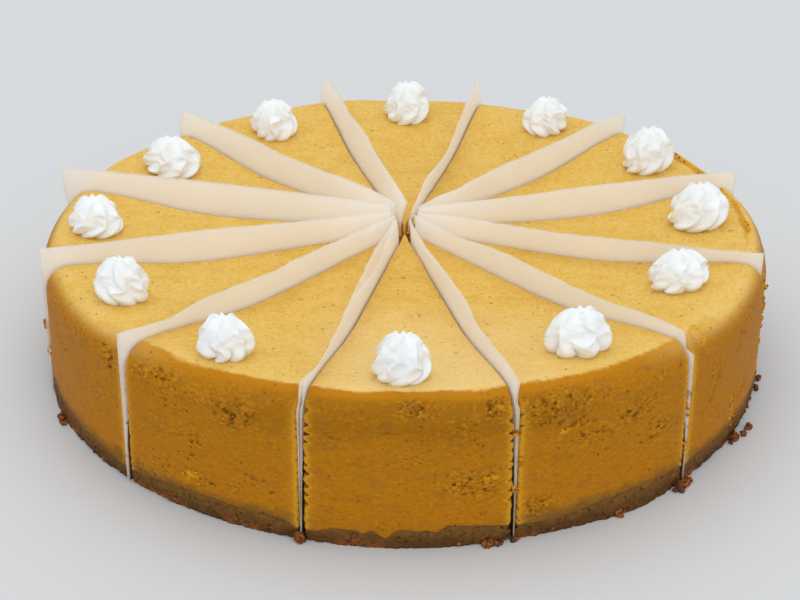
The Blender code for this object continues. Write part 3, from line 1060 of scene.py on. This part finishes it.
def cream_material():
    """Whipped cream: white, softly glossy, with tiny air bubbles."""
    material, tree, shader, where = start_material("whipped_cream")
    bubbles = cloud(tree, where, 0.7 * MM, 3.0)
    broad = cloud(tree, where, 6 * MM, 2.0)
    colour = blend(tree, broad.from_to(0.35, 0.7), CREAM_COLOUR, CREAM_FOLD)
    finish_shader(tree, shader, colour, bubbles.from_to(0.3, 0.7, 0.38, 0.5), bubbles, 0.12, 0.2 * MM)
    shader.inputs["Subsurface Weight"].default_value = 0.25
    shader.inputs["Subsurface Radius"].default_value = (1.0, 0.9, 0.8)
    shader.inputs["Subsurface Scale"].default_value = 1.5 * MM
    return material


parchment = report(paper_material())
cream = report(cream_material())

# %% [markdown]
# ## Relief of the baked surfaces
#
# The sleeves are smooth so far. One tree moves their points in and out along the surface. Long soft
# waves and a fine grain lie all over the skin, and pits lie in bands at the side, where bubbles burst
# against the tin. The tree also stores how deep each pit is, so that the material can paint shade into it.

# %% The relief tree
def relief_tree():
    """Moves the skin by waves, grain and pits, and stores the pits for the material."""
    inputs = {
        "Wave": 0.25 * MM, "Wave Size": 9 * MM, "Grain": 0.12 * MM, "Grain Size": 1.6 * MM,
        "Pit Depth": 0.6 * MM, "Pit Size": 1.3 * MM, "Seed": 0.0, "Material": None,
    }
    tree, given = start_tree("baked relief", inputs)
    where = add(tree, "GeometryNodeInputPosition")
    skin = add(tree, "GeometryNodeInputNamedAttribute", {"data_type": "FLOAT"}, {"Name": "skin"})
    side = add(tree, "GeometryNodeInputNamedAttribute", {"data_type": "FLOAT"}, {"Name": "side"})

    def noise_of(size, detail, vector=where):
        values = {"Vector": vector, "W": given["Seed"], "Scale": 1 / size, "Detail": detail}
        return add(tree, "ShaderNodeTexNoise", {"noise_dimensions": "4D"}, values)

    waves = (noise_of(given["Wave Size"], 2.0) - 0.5) * given["Wave"] * 2
    grain = (noise_of(given["Grain Size"], 3.0) - 0.5) * given["Grain"] * 2 * (0.35 + side)
    flat = add(tree, "ShaderNodeVectorMath", {"operation": "MULTIPLY"}, {0: where, 1: (1, 1, 2.6)})
    pitted = add(tree, "GeometryNodeInputNamedAttribute", {"data_type": "FLOAT"}, {"Name": "pitted"})
    bands = noise_of(15 * MM, 2.0, flat).from_to(0.54, 0.68, 0.0, 0.7) * side
    hollows = noise_of(given["Pit Size"], 1.0).from_to(0.53, 0.66)
    pit = bands.apply("MAXIMUM", pitted) * hollows * skin.from_to(0.9, 1.0)
    offset = (waves + grain) * skin - pit * given["Pit Depth"]
    normal = add(tree, "GeometryNodeInputNormal")
    move = add(tree, "ShaderNodeVectorMath", {"operation": "SCALE"}, {0: normal, "Scale": offset})
    values = {"Geometry": given["Geometry"], "Name": "pit", "Value": pit}
    stored = add(tree, "GeometryNodeStoreNamedAttribute", {"data_type": "FLOAT", "domain": "POINT"}, values)
    moved = add(tree, "GeometryNodeSetPosition", {}, {"Geometry": stored, "Offset": move})
    end_tree(tree, moved, given["Material"])
    return tree


relief = relief_tree()
CRUMBLY = {"Wave": 0.8 * MM, "Wave Size": 3.2 * MM, "Grain": 0.7 * MM, "Grain Size": 1.3 * MM}
for number, (filling, crust) in enumerate(zip(fillings, crusts), 1):
    grown(filling, relief, {"Seed": float(number), "Material": custard})
    grown(crust, relief, {**CRUMBLY, "Seed": float(number), "Material": biscuit})
print("relief on", len(fillings) + len(crusts), "pieces")

# %% [markdown]
# ## Parchment in the cuts
#
# Each paper is one sheet folded along the bottom of its cut, so two leaves stand in it. Between the
# slices it is held flat, and above them it is free and sways. Cloth simulation could bend it, but each
# paper's sway is known from the photograph, so a table says how far its top edge leans at seven places.
# A grid is the flat sheet: its rows run down one leaf and up the other.

# %% How the papers stand
PAPER_TOP = 52.3 * MM
PAPER_BOTTOM = 0.5 * MM
PAPER_THICKNESS = 0.12 * MM
PAPER_LENGTH_STEPS = 90
PAPER_TUCK = 1.2 * MM
# Gap between the two leaves in a cut, and how strongly the sheet is creased, in mm
LEAF_GAP = 0.16
CREASE = 0.5
# Heights between which the outer end steps back, where the sheet is shorter above than at its foot, and
# where it is longer
STEP_BACK = (44.5 * MM, 46.5 * MM)
STEP_OUT = (34 * MM, PAPER_TOP)
# Middle and half width of the stretch where the leaves part above the cake, in mm
PARTING = (40, 19)
# How far each paper's top edge leans from its cut, in mm, at these distances from the middle
STATIONS = np.array((6, 25, 45, 65, 85, 105, 121)) * MM
LEANS = (
    (-0.8, -0.6, 0.3, 0.2, 1.1, 1.6, 0.0), (0.9, 1.2, 1.8, 2.4, 1.3, 2.6, 0.4),
    (0.5, 1.0, 0.4, -1.1, -0.8, -0.4, -1.2), (-1.8, -4.2, -4.8, -5.0, -4.6, -3.4, 0.0),
    (-1.2, -3.8, -1.2, -1.2, -3.2, -3.6, -1.0), (-2.2, -2.4, -2.1, -3.5, -2.3, -3.2, -2.6),
    (-2.4, -1.1, -2.7, -1.8, -0.2, 1.2, 1.2), (-1.6, -1.4, 0.0, 0.3, 0.6, 1.6, -0.8),
    (-0.6, -0.4, -0.2, 1.2, 1.2, 0.8, -0.2), (-1.2, -1.8, -3.2, -3.4, -2.6, -2.4, -1.6),
    (-1.2, -2.6, -1.0, -2.0, -2.4, -0.8, -1.6), (-0.9, -1.0, -0.4, 0.5, -0.5, 0.9, 0.4),
)
# Where each sheet begins, where it ends at the top and at the foot, how far its leaves part above the
# cake, and how far at the outer end, in mm
LEAVES = (
    (8.0, 118.2, 120.5, 3.2, 1.1), (5.5, 121.0, 120.8, 0.1, 0.5), (4.5, 121.0, 120.8, 0.1, 0.3),
    (4.5, 123.4, 121.3, 0.1, 0.3), (5.0, 117.0, 116.8, 0.1, 0.3), (5.0, 123.4, 120.5, 0.1, 0.3),
    (5.0, 120.0, 119.5, 0.1, 0.3), (5.0, 116.5, 116.2, 0.1, 0.3), (4.5, 119.8, 119.0, 0.1, 0.3),
    (4.5, 118.8, 118.2, 0.1, 0.3), (5.5, 116.9, 120.3, 0.1, 0.5), (8.0, 117.8, 120.2, 0.2, 0.5),
)
HELD_HEIGHTS = np.linspace(PAPER_BOTTOM, 38 * MM, 6)
FREE_HEIGHTS = np.linspace(40 * MM, PAPER_TOP, 11)
PAPER_HEIGHTS = np.concatenate([HELD_HEIGHTS, FREE_HEIGHTS])
print("the papers lean by up to", max(abs(lean) for row in LEANS for lean in row), "mm")

# %% [markdown]
# ## A point of a paper
#
# The leans are joined by a smooth curve through the seven places, and noise adds the small creases. As
# the sheet can't stretch, its top edge also drops where it leans far. The leaves part a little at the
# outer end, and the first paper's also in the middle.

# %% A point of a paper
def flowing(position, stations, values):
    """A value between stations, on a curve that passes through each station's value."""
    at = int(np.clip(np.searchsorted(stations, position) - 1, 0, len(stations) - 2))
    share = np.clip((position - stations[at]) / (stations[at + 1] - stations[at]), 0, 1)
    near = [int(np.clip(at + step, 0, len(values) - 1)) for step in (-1, 0, 1, 2)]
    before, start, end, after = (values[index] for index in near)
    slope_start, slope_end = (end - before) / 2, (after - start) / 2
    curve = start * (2 * share ** 3 - 3 * share ** 2 + 1) + end * (3 * share ** 2 - 2 * share ** 3)
    curve = curve + slope_start * (share ** 3 - 2 * share ** 2 + share)
    return curve + slope_end * (share ** 3 - share ** 2)


def paper_point(along, height, leaf, number):
    """A point of a folded paper that stands along -Y: its leaf is -1 or 1."""
    inner, outer, foot, part, spread = LEAVES[number - 1]
    corner = smooth(*(STEP_BACK if outer < foot else STEP_OUT), height)
    outer = foot + (outer - foot) * float(corner)
    radius = (inner + (outer - inner) * along) * MM
    reach = min(radius, CAKE_RADIUS)
    held = float(top_height(reach) + lift((number - 0.5) * SLICE_ANGLE, reach)) - PAPER_TUCK
    free = max(0.0, (height - held) / (PAPER_TOP - held))
    crease = noise.noise(Vector((radius / (7 * MM), number * 3.7, 0)))
    crease += 0.5 * noise.noise(Vector((radius / (3 * MM), number * 5.1, 0)))
    lean = (flowing(radius, STATIONS, LEANS[number - 1]) + CREASE * crease) * MM
    drop = PAPER_TOP - held - math.sqrt(max(0.0, (PAPER_TOP - held) ** 2 - lean ** 2))
    rise = (height - PAPER_BOTTOM) / (PAPER_TOP - PAPER_BOTTOM)
    middle, wide = PARTING
    apart = LEAF_GAP + part * free ** 1.3 * math.exp(-((radius / MM - middle) / wide) ** 2)
    apart += spread * float(smooth(0.90, 1.0, along)) * rise
    return Vector((leaf * apart * MM / 2 + lean * free ** 1.5, -radius, height - drop * free))


print("the cake holds a paper up to", round((float(top_height(0)) - PAPER_TUCK) / MM, 1), "mm in the middle")

# %% [markdown]
# ## Twelve papers
#
# Each sheet is bent along -Y, where the sums are easy, and then turned into its cut. Solidify gives it
# the thickness of real parchment, half to either side, and is applied, so that the mesh is final.

# %% Twelve papers
def paper_mesh(number):
    """The folded sheet, still without thickness, turned into its cut."""
    rows = list(PAPER_HEIGHTS[::-1]) + list(PAPER_HEIGHTS)
    sheet = bmesh.new()
    bmesh.ops.create_grid(sheet, x_segments=PAPER_LENGTH_STEPS, y_segments=len(rows) - 1, size=0.5)
    for vertex in sheet.verts:
        row = round((vertex.co.y + 0.5) * (len(rows) - 1))
        leaf = -1 if row < len(PAPER_HEIGHTS) else 1
        vertex.co = paper_point(vertex.co.x + 0.5, rows[row], leaf, number)
    turn = Matrix.Rotation(-(number - 0.5) * SLICE_ANGLE, 4, "Z")
    bmesh.ops.transform(sheet, matrix=turn, verts=sheet.verts)
    mesh = bpy.data.meshes.new("paper")
    sheet.to_mesh(mesh)
    sheet.free()
    mesh.shade_smooth()
    return mesh


papers = []
for number in range(1, SLICES + 1):
    paper = link(f"parchment_{number:02d}", paper_mesh(number))
    thickness = paper.modifiers.new("Thickness", "SOLIDIFY")
    thickness.thickness = PAPER_THICKNESS
    thickness.offset = 0
    graph = bpy.context.evaluated_depsgraph_get()
    solid = bpy.data.meshes.new_from_object(paper.evaluated_get(graph))
    paper.modifiers.clear()
    paper.data = solid
    solid.materials.clear()
    solid.materials.append(parchment)
    papers.append(paper)
print("papers have", len(papers[0].data.polygons), "faces each")

# %% [markdown]
# ## Piped rosettes
#
# A star nozzle lays cream in sharp ridges with hollow flanks, and the bag is turned a little as it is
# lifted, so the ridges wind as they rise and end in a ragged crown. That is a rule, and Geometry Nodes
# state it once: a ball of points is reshaped by its angle and its height, and each of the twelve
# rosettes only has its own width, height, twist and seed.

# %% The rosette tree
ROSETTE_RINGS = 64
ROSETTE_SIDES = 126
# Share of the way up where the flat foot ends, and where the rosette is widest
ROSETTE_FOOT = 0.09
WIDEST = 0.42
DOME_POWER = 2.6


def rosette_tree():
    """A ball whose points are moved to a star piped dollop."""
    inputs = {
        "Width": 18 * MM, "Height": 13 * MM, "Ridges": 7.0, "Groove": 0.33, "Lobes": 0.7, "Twist": 0.6,
        "Seed": 0.0, "Material": None,
    }
    tree, given = start_tree("piped rosette", inputs)
    values = {"Segments": ROSETTE_SIDES, "Rings": ROSETTE_RINGS, "Radius": 1.0}
    ball = add(tree, "GeometryNodeMeshUVSphere", {}, values)
    where = add(tree, "GeometryNodeInputPosition")
    x = add(tree, "ShaderNodeSeparateXYZ", {}, {"Vector": where})
    y, z = x.part("Y"), x.part("Z")
    values = {"Vector": where, "W": given["Seed"], "Scale": 0.9, "Detail": 1.0}
    drift = add(tree, "ShaderNodeTexNoise", {"noise_dimensions": "4D"}, values) - 0.5
    values = {"Vector": where, "W": given["Seed"] + 9.0, "Scale": 2.0, "Detail": 1.0}
    lumps = add(tree, "ShaderNodeTexNoise", {"noise_dimensions": "4D"}, values) - 0.5
    way_up = (z * -0.9999).apply("ARCCOSINE") / math.pi
    step = ((way_up - ROSETTE_FOOT) / (1 - ROSETTE_FOOT)).apply("MAXIMUM", 0.0)
    rise = 1 - (1 - step).apply("MAXIMUM", 0.0) ** 1.3
    turn = y.apply("ARCTAN2", x)
    star = (turn + drift * 1.3) * given["Ridges"] * 0.5
    facets = star.apply("SINE").apply("ABSOLUTE") ** 0.65
    lobes = 1 - star.apply("COSINE").apply("ABSOLUTE") ** 0.6
    upper = rise.from_to(0.10, 0.45)
    groove = lobes * (1 - upper) * given["Lobes"] + facets * upper
    depth = given["Groove"] * (1.05 - rise * 0.35) * (1 + lumps * 0.7)
    dome = ((1 - rise ** DOME_POWER) / (1 - WIDEST ** DOME_POWER)).apply("MAXIMUM", 0.0) ** 0.50
    below = (1 - rise / WIDEST).apply("MAXIMUM", 0.0)
    share = dome.apply("MINIMUM", 1.0) * (1 - below * below * 0.20)
    width = given["Width"] * 0.515 * share * (1 - groove * depth) * (1 + drift * 0.25)
    width = width * (way_up / ROSETTE_FOOT).apply("MINIMUM", 1.0)
    crown = (1 - groove) * rise.from_to(0.78, 0.95) * 0.08 * (1 + drift * 2)
    height = given["Height"] * (rise * (0.93 + drift * 0.15) + crown * (1 - rise.from_to(0.97, 1.0)))
    swirl = turn + given["Twist"] * (rise + (rise * 5.5).apply("SINE") * 0.16) + lumps * rise * 0.25
    values = {"X": width * swirl.apply("COSINE"), "Y": width * swirl.apply("SINE"), "Z": height}
    target = add(tree, "ShaderNodeCombineXYZ", {}, values)
    piped = add(tree, "GeometryNodeSetPosition", {}, {"Geometry": ball, "Position": target})
    end_tree(tree, piped, given["Material"])
    return tree


piping = rosette_tree()
print("the rosette tree has", len(piping.nodes), "nodes")

# %% [markdown]
# ## Twelve rosettes
#
# No two rosettes were piped alike, so each has a row with its place, size and twist, measured on the
# photograph. After the tree has shaped a rosette, its points are moved to its place, and each point is
# lifted by the height of the cake's top below it. Cream does the same: it settles onto what it lies on.

# %% Twelve rosettes
# One for each slice, as (turn from the slice's middle in degrees, distance from the cake's middle,
# width, height, twist in degrees, share of the lobes at the base)
ROSETTES = (
    (1.1, 0.1010, 0.0184, 0.0144, 95, 0.35),
    (1.6, 0.1024, 0.0176, 0.0128, 10, 1.0),
    (0.3, 0.1016, 0.0178, 0.0138, -70, 0.5),
    (-1.0, 0.1030, 0.0186, 0.0120, 75, 0.6),
    (1.0, 0.0960, 0.0206, 0.0124, 80, 0.5),
    (0.0, 0.0960, 0.0178, 0.0132, 45, 0.8),
    (1.0, 0.0985, 0.0180, 0.0136, 60, 0.6),
    (2.0, 0.1005, 0.0172, 0.0128, -60, 0.7),
    (0.0, 0.1005, 0.0190, 0.0146, 80, 0.6),
    (-2.0, 0.0986, 0.0202, 0.0144, 100, 0.45),
    (-4.0, 0.0956, 0.0194, 0.0120, 25, 0.8),
    (-1.1, 0.0976, 0.0206, 0.0136, -30, 1.0),
)
SINK = 0.1 * MM

rosettes = []
for number, (turn, distance, width, height, twist, lobes) in enumerate(ROSETTES, 1):
    rosette = link(f"cream_{number:02d}", bpy.data.meshes.new("cream"))
    values = {"Width": width, "Height": height, "Twist": math.radians(twist), "Lobes": lobes}
    mesh = grown(rosette, piping, {**values, "Seed": 3.1 * number, "Material": cream})
    centre = outward((number - 1) * SLICE_ANGLE + math.radians(turn)) * distance
    points = np.zeros(len(mesh.vertices) * 3)
    mesh.vertices.foreach_get("co", points)
    points = points.reshape(-1, 3) + np.array([centre.x, centre.y, -SINK])
    radius = np.hypot(points[:, 0], points[:, 1])
    points[:, 2] += top_height(radius) + lift(np.arctan2(-points[:, 0], -points[:, 1]), radius)
    mesh.vertices.foreach_set("co", points.ravel())
    mesh.update()
    rosettes.append(rosette)
print("rosettes have", len(rosettes[0].data.polygons), "faces each")

# %% [markdown]
# ## Loose crumbs
#
# Crumbs of the crust lie along the foot, more on the right, in small heaps where a paper was pushed
# in. They are instances of one rough grain, put on points along the foot and made real by the tree.

# %% Crumbs along the foot
# Heaps of crumbs, as (angle in degrees, distance beyond the crust, how many, spread, size), in mm
HEAPS = (
    (15.0, 0.6, 5, 0.9, 1.5), (345.5, 0.6, 4, 1.0, 0.9), (348.6, 0.4, 14, 2.2, 0.9),
    (316, 2.0, 16, 1.8, 1.1), (328, 0.9, 5, 1.4, 0.9), (300, 1.2, 9, 2.2, 1.0), (296, 2.6, 2, 0.6, 1.4),
    (283, 0.8, 5, 2.0, 1.0), (271, 0.8, 3, 1.4, 0.9), (65, 1.0, 4, 1.6, 0.9), (88, 0.8, 3, 1.2, 0.9),
)
EDGE_CRUMBS = 120
CRUMB_TOP = 5 * MM


def sized_points(name, points, sizes):
    """A cloud of points, with the size of each as an attribute."""
    mesh = bpy.data.meshes.new(name)
    mesh.from_pydata(points, [], [])
    size = mesh.attributes.new("size", "FLOAT", "POINT")
    size.data.foreach_set("value", np.array(sizes, dtype=np.float32))
    return mesh


def crumb_points():
    """Where crumbs lie: in heaps, and scattered along the foot of the crust."""
    chance = np.random.default_rng(11)
    points = []
    sizes = []
    for angle, beyond, count, spread, size in HEAPS:
        for _ in range(count):
            turn = math.radians(angle) + chance.normal(0, spread * MM / CAKE_RADIUS)
            reach = CAKE_RADIUS + (beyond + chance.normal(0, spread * 0.4)) * MM
            grain = size * MM * chance.uniform(0.6, 1.2)
            height = 0.75 * grain + max(0.0, chance.normal(0, 0.35)) * grain
            points.append((-reach * math.sin(turn), -reach * math.cos(turn), height))
            sizes.append(grain)
    for _ in range(EDGE_CRUMBS):
        turn = chance.uniform(0, 2 * math.pi)
        grain = chance.uniform(0.35, 0.95) ** 1.5 * MM
        reach = CAKE_RADIUS - FOOT_INSET + chance.uniform(-0.1, 0.5) * grain
        height = grain * 0.7 + chance.exponential(0.9) * MM
        points.append((-reach * math.sin(turn), -reach * math.cos(turn), min(height, CRUMB_TOP)))
        sizes.append(grain)
    return sized_points("crumbs", points, sizes)


def crumb_tree():
    """Puts a rough grain on each point, turned at random and scaled by the point's size."""
    tree, given = start_tree("crumbs", {"Roughness": 0.85, "Seed": 4, "Material": None})
    grain = add(tree, "GeometryNodeMeshIcoSphere", {}, {"Radius": 1.0, "Subdivisions": 3})
    values = {"Max": (6.28, 6.28, 6.28), "Seed": given["Seed"]}
    spin = add(tree, "FunctionNodeRandomValue", {"data_type": "FLOAT_VECTOR"}, values)
    size = add(tree, "GeometryNodeInputNamedAttribute", {"data_type": "FLOAT"}, {"Name": "size"})
    values = {"Points": given["Geometry"], "Instance": grain, "Rotation": spin, "Scale": size}
    spread = add(tree, "GeometryNodeInstanceOnPoints", {}, values)
    real = add(tree, "GeometryNodeRealizeInstances", {}, {"Geometry": spread})
    where = add(tree, "GeometryNodeInputPosition")
    values = {"Vector": where, "Scale": 1 / (1.1 * MM), "Detail": 3.0}
    lumps = add(tree, "ShaderNodeTexNoise", {}, values) - 0.5
    normal = add(tree, "GeometryNodeInputNormal")
    values = {0: normal, "Scale": lumps * given["Roughness"] * (2.2 * MM)}
    move = add(tree, "ShaderNodeVectorMath", {"operation": "SCALE"}, values)
    moved = add(tree, "GeometryNodeSetPosition", {}, {"Geometry": real, "Offset": move})
    end_tree(tree, moved, given["Material"])
    return tree


scattering = crumb_tree()
crumbs = link("crumbs", crumb_points())
grown(crumbs, scattering, {"Material": loose_crumb})
print("crumbs have", len(crumbs.data.polygons), "faces in all")

# %% [markdown]
# ## Torn bits of filling
#
# The papers pull small bits of filling along. They hang on the upright edges of the cuts, stand out on
# the outline at both sides, and fill the hole in the middle, where twelve cuts meet. The tree that made
# the crumbs makes them too, from other points, with another seed and rougher.

# %% Bits on the cuts and in the middle
TORN_DEEP = (0.30, 0.105, 0.008)
TORN_BRIGHT = (0.66, 0.30, 0.020)
# Groups of bits, as (angle in degrees, distance from the middle, height, how many, spread along the
# side, spread upwards, size), in mm
TORN = (
    (344.8, 119.9, 18.5, 9, 0.7, 0.5, 0.7), (344.3, 119.9, 27.0, 6, 0.5, 0.6, 0.65),
    (345.2, 119.8, 37.0, 4, 0.3, 0.6, 0.6), (344.6, 119.7, 8.0, 4, 0.4, 1.6, 0.5),
    (315.0, 119.8, 30.0, 9, 0.4, 6.0, 0.6), (315.0, 119.8, 12.0, 9, 0.4, 4.0, 0.6),
    (45.0, 119.8, 26.0, 5, 0.4, 7.0, 0.6),
    (75.6, 120.6, 25.0, 5, 0.4, 0.9, 1.1), (75.2, 120.0, 14.0, 4, 0.3, 4.5, 0.7),
    (284.8, 119.8, 34.0, 8, 0.4, 4.0, 0.9), (284.8, 119.8, 20.0, 8, 0.4, 6.0, 0.6),
    (31.8, 119.0, 11.6, 9, 1.9, 0.7, 0.8), (31.2, 119.2, 14.4, 4, 1.6, 0.4, 0.6),
    (300.6, 118.8, 11.0, 9, 0.7, 3.0, 0.8), (300.0, 118.9, 6.0, 6, 0.9, 1.4, 0.8),
    (340.0, 9.0, 40.5, 12, 1.6, 1.2, 1.0), (20.0, 6.0, 40.5, 12, 1.6, 1.2, 1.0),
    (180.0, 3.0, 40.0, 14, 2.0, 1.4, 1.1),
)


def torn_points():
    """Where torn bits hang: in small groups round the places of the table."""
    chance = np.random.default_rng(5)
    points = []
    sizes = []
    for degrees, distance, height, count, wide, tall, size in TORN:
        out = outward(math.radians(degrees))
        along = Vector((out.y, -out.x, 0))
        for _ in range(count):
            beyond, aside, above = chance.normal(0, 1, 3) * (0.2, wide, tall)
            centre = (out * (distance + beyond) + along * aside + Vector((0, 0, height + above))) * MM
            points.append(tuple(centre))
            sizes.append(size * MM * chance.uniform(0.55, 1.15))
    return sized_points("torn_bits", points, sizes)


def torn_material():
    """The inside of the filling where it tore: a warm orange with dark hollows."""
    material, tree, shader, where = start_material("torn_custard")
    fine = cloud(tree, where, 1.0 * MM, 4.0, 0.6)
    colour = blend(tree, fine.from_to(0.38, 0.62), TORN_DEEP, TORN_BRIGHT)
    finish_shader(tree, shader, colour, fine.from_to(0.3, 0.7, 0.45, 0.6), fine, 0.5, 0.4 * MM)
    shader.inputs["Specular IOR Level"].default_value = 0.08
    return material


torn_custard = report(torn_material())
torn_bits = link("torn_bits", torn_points())
grown(torn_bits, scattering, {"Material": torn_custard, "Seed": 9, "Roughness": 0.95})
print("torn bits have", len(torn_bits.data.polygons), "faces in all")

# %% [markdown]
# ## Joining the frame
#
# Every piece rides on the one body that this model has, and the solid that each slice, crust, paper and
# rosette stands for is hidden.

# %% Riding and replacing
for number in range(1, SLICES + 1):
    dressed = (
        (fillings[number - 1], "filling", "filling"),
        (crusts[number - 1], "crust", "crust"),
        (papers[number - 1], "divider", "paper"),
        (rosettes[number - 1], "rosette", "cream"),
    )
    for piece, node, slot in dressed:
        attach(piece, "root")
        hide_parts(f"{node}_{number:02d}")
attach(crumbs, "root")
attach(torn_bits, "root")
print(4 * SLICES, "pieces stand for solids, and 2 are scattered bits")

# %% [markdown]
# ## Floor and light
#
# A wide pale floor fills the view. It is one plain face.

# %% Floor
FLOOR_SIZE = 6.0
FLOOR_COLOUR = (0.63, 0.63, 0.63)


def make_floor():
    """A plain pale floor."""
    sheet = bmesh.new()
    bmesh.ops.create_grid(sheet, x_segments=1, y_segments=1, size=FLOOR_SIZE / 2)
    mesh = bpy.data.meshes.new("floor")
    sheet.to_mesh(mesh)
    sheet.free()
    floor = link("floor", mesh)
    material, _, shader, _ = start_material("pale_floor")
    shader.inputs["Base Color"].default_value = (*FLOOR_COLOUR, 1)
    shader.inputs["Roughness"].default_value = 0.6
    mesh.materials.append(material)


make_floor()
print("the floor is", FLOOR_SIZE, "m wide")

# %% [markdown]
# ## Lights and sky
#
# One large soft light hangs above and a little behind, which makes the tops bright and leaves the sides
# deeper. A second one fills in from the front right, and a pale sky lightens the shadows.

# %% Lights and sky
def area_light(name, position, target, size, power):
    """A square soft light that faces the target."""
    data = bpy.data.lights.new(name, "AREA")
    data.shape = "SQUARE"
    data.size = size
    data.energy = power
    light = bpy.data.objects.new(name, data)
    light.location = position
    light.rotation_euler = (Vector(target) - Vector(position)).to_track_quat("-Z", "Y").to_euler()
    bpy.context.scene.collection.objects.link(light)


# Each light's name, place, target and width in metres, and power in watts
LIGHTS = (
    ("softbox", (-0.15, 0.15, 1.3), (0, 0, 0), 1.3, 3.6),
    ("front fill", (0.35, -1.5, 0.8), (0, 0, 0.03), 1.2, 4.2),
)
SKY_COLOUR = (0.93, 0.97, 1.0)
SKY_STRENGTH = 0.94

for row in LIGHTS:
    area_light(*row)
world = bpy.data.worlds.new("sky")
world.use_nodes = True
sky = world.node_tree.nodes["Background"]
sky.inputs["Color"].default_value = (*SKY_COLOUR, 1)
sky.inputs["Strength"].default_value = SKY_STRENGTH
bpy.context.scene.world = world
bpy.context.scene.view_settings.view_transform = "Standard"
print(f"{len(LIGHTS)} soft lights of {sum(row[-1] for row in LIGHTS):.1f} W in all")

# %% [markdown]
# ## Camera
#
# The camera stands where the photograph was taken from: about two thirds of a metre from the cake,
# looking down at it with a long lens, turned a hair to one side.

# %% The photograph's camera
CAMERA_PLACE = (-8.03 * MM, -586.44 * MM, 333.2 * MM)
CAMERA_PITCH = math.radians(28.28)
CAMERA_YAW = math.radians(0.649)
CAMERA_ROLL = math.radians(0.41)
CAMERA_LENS = 87.74
SENSOR_WIDTH = 36
NEAR_LIMIT = 0.01
FAR_LIMIT = 20


def make_camera():
    """A camera with the photograph's place, direction and field of view."""
    data = bpy.data.cameras.new("camera")
    data.lens = CAMERA_LENS
    data.sensor_width = SENSOR_WIDTH
    data.clip_start = NEAR_LIMIT
    data.clip_end = FAR_LIMIT
    flat = math.cos(CAMERA_PITCH)
    forward = Vector((math.sin(CAMERA_YAW) * flat, math.cos(CAMERA_YAW) * flat, -math.sin(CAMERA_PITCH)))
    right = Vector((math.cos(CAMERA_YAW), -math.sin(CAMERA_YAW), 0))
    up = right.cross(forward)
    tilted_right = math.cos(CAMERA_ROLL) * right + math.sin(CAMERA_ROLL) * up
    tilted_up = -math.sin(CAMERA_ROLL) * right + math.cos(CAMERA_ROLL) * up
    pose = Matrix((tilted_right, tilted_up, -forward)).transposed().to_4x4()
    pose.translation = CAMERA_PLACE
    camera = bpy.data.objects.new("camera", data)
    camera.matrix_world = pose
    bpy.context.scene.collection.objects.link(camera)
    bpy.context.scene.camera = camera


make_camera()
print(f"the camera is {Vector(CAMERA_PLACE).length:.2f} m from the cake's foot")

# %% [markdown]
#
# The dressed cake has to stay as big as the solids, apart from a little that crumbs and noise may stand
# proud. Last, the view layer is brought up to date.

bpy.context.view_layer.update()
